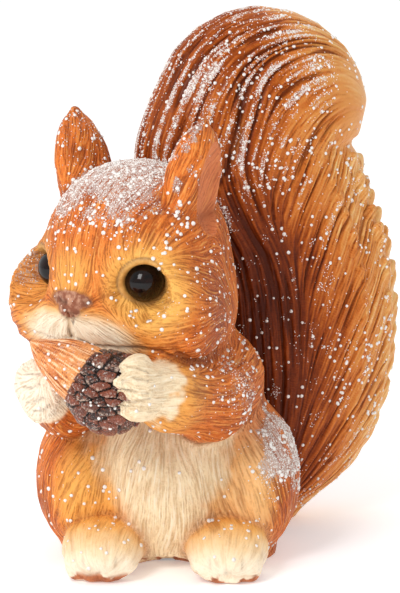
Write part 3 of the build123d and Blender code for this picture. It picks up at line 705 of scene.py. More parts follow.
# painted shade on the undersides of the arms and below the chin
deep_and_shade = np.maximum(deep_and_shade, 0.35 * smooth(0.0, -0.7, NB[:, 2]) * (wR + wL + wH * smooth(80, 74, z)))
deep_and_shade = np.clip(deep_and_shade + (big - 0.5) * 0.45, 0, 1)
deep_and_shade *= 1 - 0.8 * yellow
# painted shade where two masses meet, such as under the arms and the head
srt = np.sort(G, 1)
crease_shade = np.exp(-np.maximum(srt[:, 1] - srt[:, 0], 0) / 1.3) * (srt[:, 1] < 2.5)
crease_shade = blur(crease_shade, Q, len(V), 2)
crease_shade *= 1 - 0.7 * smooth(0.1, 0.5, np.maximum(wF, paw))
chip = smooth(0.49, 0.55, fbm(V, 4.4, 3, 21.0) + 0.13 * smooth(2.6, 0.2, Z)) * smooth(4.4, 2.0, Z + 1.6 * (mid - 0.5)) * (1 - flat_bottom)
snow = np.zeros(len(V))
patch1, patch2 = fbm(V, 11, 3, 141), fbm(V, 5, 3, 151)
brk = smooth(0.36, 0.60, 0.5 * patch1 + 0.5 * patch2)
snow = np.maximum(snow, 1.0 * smooth(113, 130, Z + (mid - 0.5) * 14 + (patch1 - 0.5) * 22) * smooth(-0.1, 0.6, NB[:, 2]) * (wH + 0.4 * wE * (1 - ear_in)))
snow = np.maximum(snow, 0.42 * smooth(100, 118, Z) * wH * (0.2 + 0.8 * brk))
snow = np.maximum(snow, 0.97 * smooth(1.5, 0.25, ((X - 40.5) / 12.5) ** 2 + ((Y + 21) / 18) ** 2 + ((Z - 41) / 18) ** 2 + (patch1 - 0.5) * 1.4 + (patch2 - 0.5) * 2.2) * wT)
snow = np.maximum(snow, 0.50 * smooth(1.5, 0.1, ((X - 22) / 13) ** 2 + ((Y + 34) / 22) ** 2 + ((Z - 62) / 13) ** 2 + (patch2 - 0.5) * 2.4) * (wR + wT))
snow = np.maximum(snow, 0.36 * smooth(1.6, 0.1, ((l - 36) / 12) ** 2 + ((f - 4) / 27) ** 2 + ((z - 90) / 21) ** 2 + (patch2 - 0.5) * 2.2) * wH)
snow = np.maximum(snow, 0.62 * smooth(1.3, 0.2, ((l + 31) / 9) ** 2 + ((f - 20) / 14) ** 2 + ((z - 101) / 9) ** 2 + (patch2 - 0.5) * 1.4) * wH)
snow = np.maximum(snow, 0.80 * smooth(0.40, 0.58, patch2) * wE * (1 - ear_in) * (0.45 + 0.55 * (l > 0)))
snow = np.maximum(snow, 0.5 * smooth(0.2, 0.8, NB[:, 2]) * brk * (wT + wH) * smooth(10, 40, Y + Z * 0.3))
snow *= (1 - plain) * (1 - lid) * (1 - 0.7 * nose) * (1 - ear_in)
fur = np.clip(0.5 + 0.30 * (0.65 * z1 + 0.55 * z2), 0, 1)
fur = 0.5 + (fur - 0.5) * np.clip(amp * 1.15, 0, 1)
pink = np.clip(ear_in, 0, 1)

VB = V + NB * disp[:, None]
body = make_mesh("squirrel_body", VB, Q)
paint(body, "zone", (cream, yellow, deep_and_shade, pink))
paint(body, "detail", (fur, np.clip(crease_shade, 0, 1), snow, np.clip(marks, 0, 1)))
paint(body, "extra", (nose, np.clip(lidline, 0, 1), chip, plain))
paint(body, "face", (lid * (1 - 0.6 * lidline), wF * smooth(-24, -34, Y), paw, white))
run_along(body, flow.at(V)[0])
print("body made", round(time.time() - T0, 1))

# beads in the eye sockets
beads = []
for s, nm in ((1, "left_bead"), (-1, "right_bead")):
    ge = Grid(EYE_C[s] - 8.5, EYE_C[s] + 8.5, 0.45)
    ge.put(ell(EYE_C[s], (EYE_R, EYE_R, EYE_R * 0.985), 0))
    bv, bq = ge.mesh()
    beads.append(make_mesh(nm, bv, bq))

# ------------------------------------------------------------------ tail
gt = Grid((-34, -16, -2.4), (86, 96, 186), 0.52)
gt.put(TAIL)
# leaf-shaped ends of the strands along the outer edge
TIPS = []
for i, zt in enumerate(np.arange(19, 124, 6.1)):
    zt = zt + 1.1 * math.sin(i * 2.7)
    tc, aa, bb = (float(np.interp(zt, _zs, q)) for q in (_tc, _aa, _b))
    for k, (ang, sz) in enumerate(((0.0, 1.0), (0.34, 0.9), (-0.34, 0.9), (0.8, 0.75), (-0.8, 0.75))):
        th = math.atan2(bb * cP, aa * sP) + ang
        t, n = tc + aa * math.cos(th), bb * math.sin(th)
        c = T0P + Tv * t + Nv * n + Zv * (zt + (3.0 if k % 2 else 0))
        o_ = unit(Tv * math.cos(th) / aa + Nv * math.sin(th) / bb)
        rise = math.radians(np.interp(zt, [18, 60, 125], [42, 58, 66]))
        a_ = unit(o_ * math.cos(rise) + Zv * math.sin(rise))
        b_ = unit(np.cross(a_, np.cross(o_, a_)))
        c_ = np.cross(a_, b_)
        TIPS.append((c, sz))
        gt.put(ell(c - o_ * 2.3, (6.6 * sz, 2.6 * sz, 3.9 * sz), 1.5, np.stack([a_, b_, c_], 1)))
# fold between the curled tip and the fringe
tcn = float(np.interp(133, _zs, _tc)); aan = float(np.interp(133, _zs, _aa))
bbn = float(np.interp(133, _zs, _b))
FOLD = []
for k in range(15):
    th = math.radians(-84 + 168 * k / 14)
    w_ = math.cos(th * 0.98)
    FOLD.append((T0P + Tv * (tcn + (aan + 1.5) * math.cos(th)) + Nv * ((bbn + 1.5) * math.sin(th)) + Zv * (132.6 + 1.6 * math.sin(2.2 * th)), 0.9 + 1.75 * w_))
for (a_, ra), (b_, rb) in zip(FOLD[:-1], FOLD[1:]):
    gt.put(cone(a_, b_, ra, rb, 1.0, cut=True))
for dn, dr in ((-10, 5.2), (0, 6.0), (9, 5.6)):
    gt.put(ell(T0P + Tv * (tcn + aan * 0.90 - 2.6) + Nv * dn + Zv * 124.6, (dr, dr, 6.6), 3.0))
TV, TQ = gt.mesh()
NT = vnormals(TV, TQ)
print("tail mesh", len(TV), len(TQ), round(time.time() - T0, 1))


def tail_uv(P):
    t, n = tail_tnz(P[:, 0], P[:, 1])
    zc = np.clip(P[:, 2], 1, 181.8)
    tc, aa, bb = (np.interp(zc, _zs, q) for q in (_tc, _aa, _b))
    return t, n, (t - tc) / aa, tc, aa


CURL_T, CURL_Z = 31.0, 149.0
SPIN_T, SPIN_Z = 44.0, 131.5           # the strands wind in towards the notch
_dtc = np.gradient(_tc, _zs)
_daa = np.gradient(_aa, _zs)


def tail_dir(P):
    t, n, u, tc, aa = tail_uv(P)
    z = P[:, 2]
    # below the curl: fanning out from the root towards the outer edge
    low = np.interp(u, [-0.9, -0.45, -0.1, 0.25, 0.6, 1.0], [90, 84, 71, 61, 53, 47])
    low = low - 14 * smooth(62, 14, z) * smooth(-0.7, 0.3, u) - 8 * smooth(96, 120, z) * smooth(-0.2, 0.4, u)
    a = np.radians(low)
    dt, dz = np.cos(a), np.sin(a)
    # curl: round the notch, winding inwards
    rt, rz = t - SPIN_T, z - SPIN_Z
    ang = np.arctan2(-rt, rz) - math.radians(24)
    ct, cz = np.cos(ang), np.sin(ang)
    wc = smooth(116, 146, z)
    dt, dz = dt * (1 - wc) + ct * wc, dz * (1 - wc) + cz * wc
    # left of the fold: along the left outline, then over the crown
    zc = np.clip(z, 1, 181.8)
    st = np.interp(zc, _zs, _dtc) + u * np.interp(zc, _zs, _daa)
    sn = np.hypot(st, 1.0)
    wl = smooth(-0.12, -0.34, u) * smooth(171, 146, z)
    dt, dz = dt * (1 - wl) + st / sn * wl, dz * (1 - wl) + wl / sn
    D = Tv * dt[:, None] + Zv * dz[:, None]
    wob = np.stack([fbm(P, 22.0, 2, 3.0 + 31 * k) - 0.5 for k in range(3)], 1)
    return unit(D) + 0.10 * wob


tflow = Flow(gt, tail_dir, 3.0)
s1, s2, s3 = tflow.strokes(TV, (1.0, 0.85, 2.2), 26.0, 0.84)
print("tail strokes", round(time.time() - T0, 1))
tt, tn, tu, ttc, taa = tail_uv(TV)
tz = TV[:, 2]
tpx, tdep = project(TV)
front = smooth(-6, 4, tn)
curl = smooth(19, 7, np.hypot(tt - CURL_T - 9, (tz - CURL_Z) * 0.75))
edge_th = np.arctan2(np.interp(tz, _zs, _b) * cP, taa * sP)
pos_th = np.arctan2(tn / np.maximum(np.interp(tz, _zs, _b), 1), tu)
edge = smooth(0.62, 0.06, np.abs(pos_th - edge_th)) * smooth(14, 24, tz)
edge_d = np.abs(pos_th - edge_th)
# crease down the front
cz_ = np.clip(tz, 60, 170)
crt = np.interp(cz_, [60, 100, 119, 140, 158, 170], [-25, -22.5, -19.5, -11.0, -9.0, -3.0])
cre = np.exp(-((tt - crt) / 1.3) ** 2) * front * smooth(96, 112, tz) * smooth(168, 156, tz)
s12 = 0.8 * s1 + 0.62 * s2
s12 /= s12.std()
groove = smooth(-0.75, -1.7, s12)                 # narrow furrows between round ridges
sm = 1 - 0.75 * curl
deepest = 0.85 + 0.35 * smooth(90, 130, tz) - 0.25 * smooth(0.2, 0.9, tu) * smooth(120, 90, tz)
tdisp = sm * (0.24 * np.tanh(s12) - 0.60 * deepest * groove + 0.10 * np.tanh(s3)) - 0.8 * cre + 0.05
tdisp *= smooth(0.2, 3.5, tz) * (1 - 0.45 * edge)
tdisp = np.clip(tdisp, -2.0, 1.0)
# amber tone: darker towards the body, paler towards the outer edge; the dark near the body is partly the resin's own
# colour and partly painted shade
tone_and_shade = np.interp(tu, [-0.7, -0.35, 0.0, 0.25, 0.55, 0.8, 1.0], [0.06, 0.17, 0.42, 0.60, 0.76, 0.84, 0.90])
top = np.interp(tu, [-0.9, -0.3, 0.0, 0.3, 0.6, 0.9], [0.42, 0.45, 0.60, 0.74, 0.80, 0.85])
wtop = smooth(92, 138, tz)
tone_and_shade = tone_and_shade * (1 - wtop) + top * wtop
# painted shade low down towards the body
tone_and_shade -= 0.08 * smooth(48, 20, tz) * smooth(0.9, 0.3, tu)
back_tone = 0.30 + 0.42 * smooth(-0.7, 0.9, tu) + 0.08 * wtop
tone_and_shade = tone_and_shade * smooth(-8, 6, tn) + back_tone * (1 - smooth(-8, 6, tn))
tone_and_shade = np.maximum(tone_and_shade, edge * 0.80 + 0.12 * smooth(0.25, 0.05, edge_d) * smooth(14, 24, tz))
tone_and_shade = np.clip(tone_and_shade + 0.10 * (fbm(TV, 12, 2, 13) - 0.5), 0, 1)
# lighter on the strand ridges and darker in the furrows: painted highlight and painted shade
strand_relief_shade = 0.5 + (0.22 * np.tanh(s12) + 0.04 * np.tanh(s3) - 0.28 * groove) * sm * (1 - 0.55 * edge)
strand_relief_shade = np.clip(strand_relief_shade, 0, 1)
tb1, tb2 = fbm(TV, 8, 3, 71), fbm(TV, 3.2, 2, 81)
ridge = smooth(-0.2, 1.1, s12)
spk = smooth(0.50, 0.60, tb2)
tsnow = 1.0 * smooth(138, 162, tz + (tb1 - 0.5) * 30) * smooth(0.85, 0.0, tu + (tb1 - 0.5) * 0.5)
tsnow = np.maximum(tsnow, 0.78 * smooth(0.15, -0.40, tu + (tb1 - 0.5) * 0.6) * smooth(104, 132, tz))
tsnow = np.maximum(tsnow, 0.58 * smooth(0.75, 0.3, tu) * smooth(92, 118, tz) * spk)
tsnow = np.maximum(tsnow, 0.30 * spk * smooth(14, 30, tz))
tsnow = np.maximum(tsnow, 0.50 * smooth(52, 22, tz) * smooth(-0.1, 0.3, tu) * spk)
tsnow *= (0.10 + 0.90 * ridge) * (0.55 + 0.45 * smooth(0.42, 0.56, tb2)) * (1 - curl) * (1 - 0.7 * edge)
VT = TV + NT * tdisp[:, None]
tail = make_mesh("squirrel_tail", VT, TQ)
paint(tail, "zone", (tone_and_shade, strand_relief_shade, tsnow, np.clip(cre, 0, 1)))
paint(tail, "detail", (edge, curl, front, sm * (1 - 0.55 * edge)))
run_along(tail, tflow.at(TV)[0])
print("tail made", round(time.time() - T0, 1))

# ------------------------------------------------------------------ acorn
AE1 = unit(np.cross(ACU, Zv))
AE2 = np.cross(ACU, AE1)
NUT = [(-0.6, 0.0), (0, 0.6), (0.8, 1.3), (2.0, 2.3), (5.0, 4.3), (8.0, 6.0), (12.0, 7.8), (16.0, 9.1), (20.0, 9.8), (24.0, 10.0), (27.0, 9.8), (27.4, 0.0)]


def lathe(prof):
    ss, rr = [p[0] for p in prof], [p[1] for p in prof]

    def f(x, y, z):
        qx, qy, qz = x - TIP[0], y - TIP[1], z - TIP[2]
        s_ = qx * ACU[0] + qy * ACU[1] + qz * ACU[2]
        rho = np.sqrt(np.maximum(qx * qx + qy * qy + qz * qz - s_ * s_, 0))
        R_ = np.interp(s_, ss, rr)
        return np.maximum(np.maximum((rho - R_) * 0.75, ss[0] - s_), s_ - ss[-1])
    return {"c": TIP + ACU * 18, "reach": 24, "f": f, "join": smin(0), "k": 0, "cut": False}


gn = Grid(TIP + ACU * 18 - 24, TIP + ACU * 18 + 24, 0.45)
gn.put(lathe(NUT))
AV, AQ = gn.mesh()
AN = vnormals(AV, AQ)
nflow = Flow(gn, lambda P: np.zeros((len(P), 3)) - ACU, 3.0)
n1, n2 = nflow.strokes(AV, (0.85, 2.4), 6.0, 1.0)
sa = (AV - TIP) @ ACU
nd = (0.16 * np.tanh(n1) + 0.20 * np.tanh(n2)) * smooth(0, 4, sa) * smooth(27, 24, sa)
nut = make_mesh("acorn_kernel", AV + AN * nd[:, None], AQ)
paint(nut, "zone", (np.clip(0.5 + 0.3 * (0.6 * n1 + 0.6 * n2), 0, 1), smooth(10, 22, sa + 3 * (fbm(AV, 3, 2) - 0.5)), smooth(5, 0, sa), 0))
run_along(nut, nflow.at(AV)[0])

CUP = [(20.6, 9.2), (21.2, 10.6), (22.2, 11.3), (24.0, 12.0), (27.0, 12.8), (30.5, 13.1), (34.0, 12.6), (37.0, 11.3), (39.5, 9.5), (41.5, 7.2), (42.8, 4.6), (43.5, 2.0), (43.7, 0.0)]
gc = Grid(ACC - 20, ACC + 20, 0.42)
gc.put(lathe(CUP))
CV, CQ = gc.mesh()
CN = vnormals(CV, CQ)
sc = (CV - TIP) @ ACU
qa, qb = (CV - TIP) @ AE1, (CV - TIP) @ AE2
# scales: level rows, each scale wider than high, its lower edge standing proud of the next row
AW = unit((0.10, -0.20, 1.0))
AW1 = unit(np.cross(AW, vec(0, 1, 0)))
AW2 = np.cross(AW, AW1)
seeds, k = [], 0
for row, s_ in enumerate(np.arange(-13.0, 13.6, 2.45)):
    r_ = math.sqrt(max(13.3 ** 2 - s_ ** 2, 1.0))
    m = max(3, int(round(2 * math.pi * r_ / 5.8)))
    for j in range(m):
        th = 2 * math.pi * (j + 0.5 * (row % 2)) / m + 0.10 * RNG.standard_normal()
        seeds.append(ACC + AW * (s_ + 0.5 * RNG.standard_normal()) + (AW1 * math.cos(th) + AW2 * math.sin(th)) * r_)
seeds = np.array(seeds)
best = np.full((len(CV), 2), 1e9)
who = np.zeros(len(CV), int)
along = np.zeros(len(CV))
for i, sd in enumerate(seeds):
    d = CV - sd
    ds = d @ AW
    dt_ = np.sqrt(np.maximum((d * d).sum(1) - ds * ds, 0))
    m = np.sqrt((ds / 1.3) ** 2 + (dt_ / 2.9) ** 2)
    nb = m < best[:, 0]
    best[:, 1] = np.where(nb, best[:, 0], np.minimum(best[:, 1], m))
    along = np.where(nb, ds, along)
    who = np.where(nb, i, who)
    best[:, 0] = np.where(nb, m, best[:, 0])
gap = best[:, 1] - best[:, 0]
tilt = RNG.random(len(seeds))[who]
cd = 1.35 * smooth(0.0, 0.42, gap) * (0.6 + 0.7 * tilt) - 0.36 * along - 0.95 + 0.30 * (fbm(CV, 1.2, 2, 5) - 0.5)
cd *= smooth(20.4, 21.6, sc)
cup = make_mesh("acorn_cap", CV + CN * cd[:, None], CQ)
paint(cup, "zone", (smooth(0.0, 0.35, gap), tilt, smooth(0.35, 0.62, fbm(CV, 3.5, 2, 3)), np.clip(0.5 - along * 0.25, 0, 1)))
print("acorn made", round(time.time() - T0, 1))


# ------------------------------------------------------------------ snow grains and glitter
def scatter(v, q, weight, count, rng):
    """random points on quads, by area and weight: position and face normal"""
    a, b, c, d = (v[q[:, k]] for k in range(4))
    nrm = np.cross(c - a, d - b)
    area = np.linalg.norm(nrm, axis=1) * 0.5
    w = area * weight[q].mean(1)
    w = np.maximum(w, 0)
    idx = rng.choice(len(q), count, p=w / w.sum())
    r, s = rng.random((2, count, 1))
    p = (a[idx] * (1 - r) + b[idx] * r) * (1 - s) + (d[idx] * (1 - r) + c[idx] * r) * s
    return p, unit(nrm[idx])


def basis(n, rng, tilt):
    m = unit(n + tilt * rng.standard_normal(n.shape))
    u = unit(np.cross(m, unit(rng.standard_normal(n.shape))))
    return m, u, np.cross(m, u)


def flakes(p, n, rng, rmin, rmax, thick=0.13, lift=0.16, tilt=0.22, sides=7):
    m, u, w = basis(n, rng, tilt)
    k = len(p)
    r = rmin + (rmax - rmin) * rng.random(k)
    vs = []
    for top in (1, 0):
        for j in range(sides):
            a = 2 * math.pi * j / sides
            rr = r * (0.94 if top else 1.0)
            vs.append(p + m * (lift + (thick if top else -0.35)) + (u * math.cos(a) + w * math.sin(a)) * rr[:, None])
    verts = np.stack(vs, 1).reshape(-1, 3)
    base = (np.arange(k) * 2 * sides)[:, None]
    faces = [list(range(sides)), [2 * sides - 1 - j for j in range(sides)]]
    faces += [[j, sides + j, sides + (j + 1) % sides, (j + 1) % sides] for j in range(sides)]
    return verts, base, faces


def join_faces(name, verts, base, faces):
    """one mesh out of many copies of a small closed solid"""
    m = bpy.data.meshes.new(name)
    m.vertices.add(len(verts))
    m.vertices.foreach_set("co", ((verts + OFF) * 0.001).astype(F4).ravel())
    idx = np.concatenate([(base + np.array(fc)[None, :]).ravel() for fc in faces])
    sizes = np.concatenate([np.full(len(base), len(fc)) for fc in faces])
    starts = np.concatenate([[0], np.cumsum(sizes)[:-1]])
    m.loops.add(len(idx))
    m.polygons.add(len(sizes))
    m.loops.foreach_set("vertex_index", idx.astype(np.int32))
    m.polygons.foreach_set("loop_start", starts.astype(np.int32))
    m.update(calc_edges=True)
    o = bpy.data.objects.new(name, m)
    bpy.context.scene.collection.objects.link(o)
    return o


def grains(p, n, rng, rmin, rmax):
    """tiny eight-sided crystals half sunk in the surface"""
    m, u, w = basis(n, rng, 0.5)
    k = len(p)
    r = (rmin + (rmax - rmin) * rng.random(k) ** 1.5)[:, None]
    vs = [p + m * r * 1.1, p + u * r, p + w * r, p - u * r, p - w * r, p - m * r]
    verts = np.stack(vs, 1).reshape(-1, 3)
    base = (np.arange(k) * 6)[:, None]
    faces = [[0, 1, 2], [0, 2, 3], [0, 3, 4], [0, 4, 1], [5, 2, 1], [5, 3, 2], [5, 4, 3], [5, 1, 4]]
    return verts, base, faces


rg = np.random.default_rng(77)
fl_w = (0.16 + 0.75 * smooth(88, 128, Z) * wH * smooth(-8, 12, f) + 0.5 * smooth(0.1, 0.8, snow) * (1 + 1.2 * wT) + 0.25 * smooth(-0.2, 0.5, NB[:, 2])) * (1 - plain) * (1 - ear_in * 0.9) * (1 - 0.93 * lid)
fl_w = fl_w * (0.35 + 1.3 * smooth(0.40, 0.62, fbm(V, 7, 2, 111))) * smooth(1.5, 5, Z) * (rad_eye > 7.6)
fl_w *= 1 - 0.72 * cream
p, n = scatter(VB, Q, fl_w, 1050, rg)
flk = join_faces("glitter_body", *flakes(p, n, rg, 0.42, 0.80))
gr_w = snow ** 2.2 * (1 - plain) * (1 - 0.55 * wH * smooth(112, 104, Z)) + 0.008 * (1 - plain) * (1 - cream)
p, n = scatter(VB, Q, gr_w, 8000, rg)
grn = join_faces("frost_body", *grains(p, n, rg, 0.16, 0.34))
tf_w = (0.26 + 0.5 * smooth(95, 150, tz) + 1.0 * smooth(30, 42, tz) * smooth(78, 60, tz) * smooth(-0.1, 0.25, tu) * smooth(0.95, 0.7, tu) * front) * (0.3 + 1.4 * smooth(0.42, 0.62, fbm(TV, 9, 2, 121))) * smooth(2, 8, tz) * (1 - 0.5 * curl)
p, n = scatter(VT, TQ, tf_w, 1050, rg)
tflk = join_faces("glitter_tail", *flakes(p, n, rg, 0.40, 0.70))
p, n = scatter(VT, TQ, tsnow ** 1.7 + 0.002, 12000, rg)
tgrn = join_faces("frost_tail", *grains(p, n, rg, 0.15, 0.34))
p, n = scatter(CV + CN * cd[:, None], CQ, smooth(20.5, 23, sc) * (0.3 + smooth(0.5, 0.62, fbm(CV, 5, 2, 8))), 30, rg)
p2, n2_ = scatter(AV + AN * nd[:, None], AQ, smooth(2, 8, sa) * smooth(24, 20, sa), 30, rg)
aflk = join_faces("glitter_acorn", *flakes(np.concatenate([p, p2]), np.concatenate([n, n2_]), rg, 0.40, 0.6))
print("sparkle made", round(time.time() - T0, 1))


# ------------------------------------------------------------------ materials
def srgb(r, g, b):
    return tuple(((c / 255) / 12.92 if c / 255 <= 0.04045 else ((c / 255 + 0.055) / 1.055) ** 2.4) for c in (r, g, b)) + (1.0,)


class NT_:
    def __init__(self, name):
        self.m = bpy.data.materials.new(name)
        self.m.use_nodes = True
        self.t = self.m.node_tree
        self.b = self.t.nodes["Principled BSDF"]
        self.oc = self.t.nodes.new("ShaderNodeTexCoord").outputs["Object"]

    def n(self, kind, props=None, **ins):
        x = self.t.nodes.new(kind)
        for k, v in (props or {}).items():
            setattr(x, k, v)
        for k, v in ins.items():
            s = x.inputs[int(k[1:])] if k[0] == "i" and k[1:].isdigit() else x.inputs[k.replace("_", " ")]
            if isinstance(v, bpy.types.NodeSocket):
                self.t.links.new(v, s)
            else:
                s.default_value = v
        return x

    def attr(self, name):
        a = self.n("ShaderNodeAttribute", {"attribute_name": name})
        s = self.n("ShaderNodeSeparateColor", None, i0=a.outputs["Color"])
        return s.outputs[0], s.outputs[1], s.outputs[2], a.outputs["Alpha"]

    def math(self, op, a, b=0.0, clamp=False):
        return self.n("ShaderNodeMath", {"operation": op, "use_clamp": clamp}, i0=a, i1=b).outputs[0]

    def ramp(self, a, lo, hi, to0=0.0, to1=1.0):
        return self.n("ShaderNodeMapRange", {"interpolation_type": "SMOOTHSTEP"}, i0=a, i1=lo, i2=hi, i3=to0, i4=to1).outputs[0]

    def mix(self, fac, a, b, mode="MIX"):
        return self.n("ShaderNodeMix", {"data_type": "RGBA", "blend_type": mode, "clamp_factor": True}, i0=fac, i6=a, i7=b).outputs[2]

    def noise(self, mm, detail=3.0, rough=0.55, vec_=None):
        return self.n("ShaderNodeTexNoise", None, Vector=vec_ or self.oc, Scale=1000.0 / mm, Detail=detail, Roughness=rough).outputs[0]

    def strokes(self, cell, half, n=9):
        """noise averaged along the stored stroke direction: fine carved lines"""
        d = self.n("ShaderNodeAttribute", {"attribute_name": "run"}).outputs["Vector"]
        total = None
        for k in range(n):
            off = half * (2 * k / (n - 1) - 1) * 0.001
            p = self.n("ShaderNodeVectorMath", {"operation": "MULTIPLY_ADD"}, i0=d, i1=(off, off, off), i2=self.oc).outputs[0]
            v = self.n("ShaderNodeTexNoise", None, Vector=p, Scale=1000.0 / cell, Detail=0.0).outputs[0]
            total = v if total is None else self.math("ADD", total, v)
        return self.math("MULTIPLY", total, 1.0 / n)

    def voro(self, mm, feature="F1"):
        return self.n("ShaderNodeTexVoronoi", {"feature": feature}, Vector=self.oc, Scale=1000.0 / mm)

    def cramp(self, fac, stops):
        r = self.n("ShaderNodeValToRGB", None, i0=fac)
        e = r.color_ramp.elements
        while len(e) < len(stops):
            e.new(0.5)
        for x, (pos, col) in zip(e, stops):
            x.position, x.color = pos, col
        return r.outputs[0]

    def bump(self, h, strength=0.3, dist=0.0003, normal=None):
        kw = {"Strength": strength, "Distance": dist, "Height": h}
        if normal is not None:
            kw["Normal"] = normal
        return self.n("ShaderNodeBump", None, **kw).outputs[0]

    def set(self, **kw):
        for k, v in kw.items():
            s = self.b.inputs[k.replace("_", " ")]
            if isinstance(v, bpy.types.NodeSocket):
                self.t.links.new(v, s)
            else:
                s.default_value = v
        return self.m


def mat_body():
    m = NT_("painted_resin")
    cream_, yel, dee_and_shade, pin = m.attr("zone")
    fur_, crs_shade, snw, mrk = m.attr("detail")
    nos, lidl, chp, pln = m.attr("extra")
    lid_, foo, pw, wht = m.attr("face")
    n_big, n_mid, n_fine = m.noise(9, 3), m.noise(2.2, 3), m.noise(0.45, 2)
    carved = m.strokes(0.62, 2.9, 12)
    c = m.mix(m.ramp(n_big, 0.35, 0.65), srgb(230, 124, 46), srgb(212, 104, 30))
    # deeper orange: partly paint, partly painted shade on surfaces facing back, to the right and downwards
    c = m.mix(dee_and_shade, c, srgb(146, 60, 16))
    c = m.mix(m.math("MULTIPLY", yel, m.ramp(n_mid, 0.2, 0.75, 0.75, 1.0)), c, srgb(252, 190, 96))
    c = m.mix(m.math("MULTIPLY", cream_, m.ramp(n_mid, 0.15, 0.8, 0.86, 1.0)), c, m.mix(wht, srgb(250, 226, 184), srgb(255, 244, 222)))
    c = m.mix(pin, c, srgb(214, 124, 76))
    c = m.mix(nos, c, m.mix(m.ramp(n_mid, 0.42, 0.66), srgb(142, 84, 60), srgb(196, 146, 118)))
    # brown painted shade in the grooves, painted highlight on the ridges
    flat = m.math("MAXIMUM", m.math("MAXIMUM", nos, m.math("MULTIPLY", pin, 0.55)), pln)
    flat = m.math("MAXIMUM", flat, m.math("MAXIMUM", lid_, m.math("MULTIPLY", foo, 0.5)))
    c = m.mix(lid_, c, m.mix(m.ramp(n_mid, 0.3, 0.7), srgb(222, 168, 92), srgb(200, 140, 70)))
    on = m.math("SUBTRACT", 1.0, flat)
    groove_shade_col = m.mix(cream_, m.mix(yel, srgb(116, 46, 12), srgb(158, 82, 24)), srgb(186, 138, 84))
    # painted shade in the grooves of the carved fur
    low = m.math("MULTIPLY", m.ramp(fur_, 0.46, 0.10), m.ramp(cream_, 0.0, 1.0, 0.42, 0.28))
    c = m.mix(low, c, groove_shade_col)
    # painted highlight on the ridges of the carved fur
    hi = m.math("MULTIPLY", m.math("MULTIPLY", m.ramp(carved, 0.50, 0.60), 0.50), on)
    c = m.mix(hi, c, m.mix(cream_, srgb(244, 180, 98), srgb(255, 244, 222)))
    # painted shade in the fine carved strokes
    cut = m.math("MULTIPLY", m.ramp(carved, 0.505, 0.425), m.math("MULTIPLY", on, m.math("MULTIPLY", m.ramp(cream_, 0.0, 1.0, 0.64, 0.40), m.ramp(yel, 0.0, 1.0, 1.0, 0.62))))
    c = m.mix(cut, c, groove_shade_col)
    # painted shade where the masses meet
    c = m.mix(m.math("MULTIPLY", crs_shade, 0.62), c, m.mix(cream_, srgb(118, 44, 14), srgb(176, 112, 60)))
    # dark lines of mouth, nose, fingers and toes, with the painted shadow under the near cheek
    c = m.mix(m.math("MULTIPLY", mrk, 0.85), c, srgb(84, 44, 26))
    c = m.mix(m.math("MULTIPLY", lidl, 0.85), c, srgb(92, 52, 26))
    c = m.mix(chp, c, m.mix(m.ramp(n_mid, 0.35, 0.65), srgb(160, 88, 50), srgb(196, 118, 74)))
    c = m.mix(pln, c, srgb(196, 120, 66))
    # powder snow
    sp = m.ramp(m.math("ADD", m.noise(0.70, 3, 0.75), m.math("MULTIPLY", snw, 0.50)), 0.74, 0.92)
    sp = m.math("MULTIPLY", sp, m.ramp(snw, 0.03, 0.25))
    sp = m.math("MULTIPLY", sp, m.ramp(carved, 0.44, 0.51, 0.22, 1.0))
    c = m.mix(m.math("MULTIPLY", sp, 0.84), c, srgb(198, 184, 178))
    rough = m.ramp(n_fine, 0.3, 0.7, 0.42, 0.56)
    rough = m.math("ADD", rough, m.math("MULTIPLY", sp, 0.3))
    h = m.math("ADD", m.math("MULTIPLY", n_fine, 0.25), m.math("MULTIPLY", sp, 0.5))
    h = m.math("ADD", h, m.math("MULTIPLY", m.math("MULTIPLY", m.ramp(carved, 0.40, 0.56), on), 1.0))
    return m.set(Base_Color=c, Roughness=rough, Normal=m.bump(h, 0.8, 0.00034), Specular_IOR_Level=0.22)


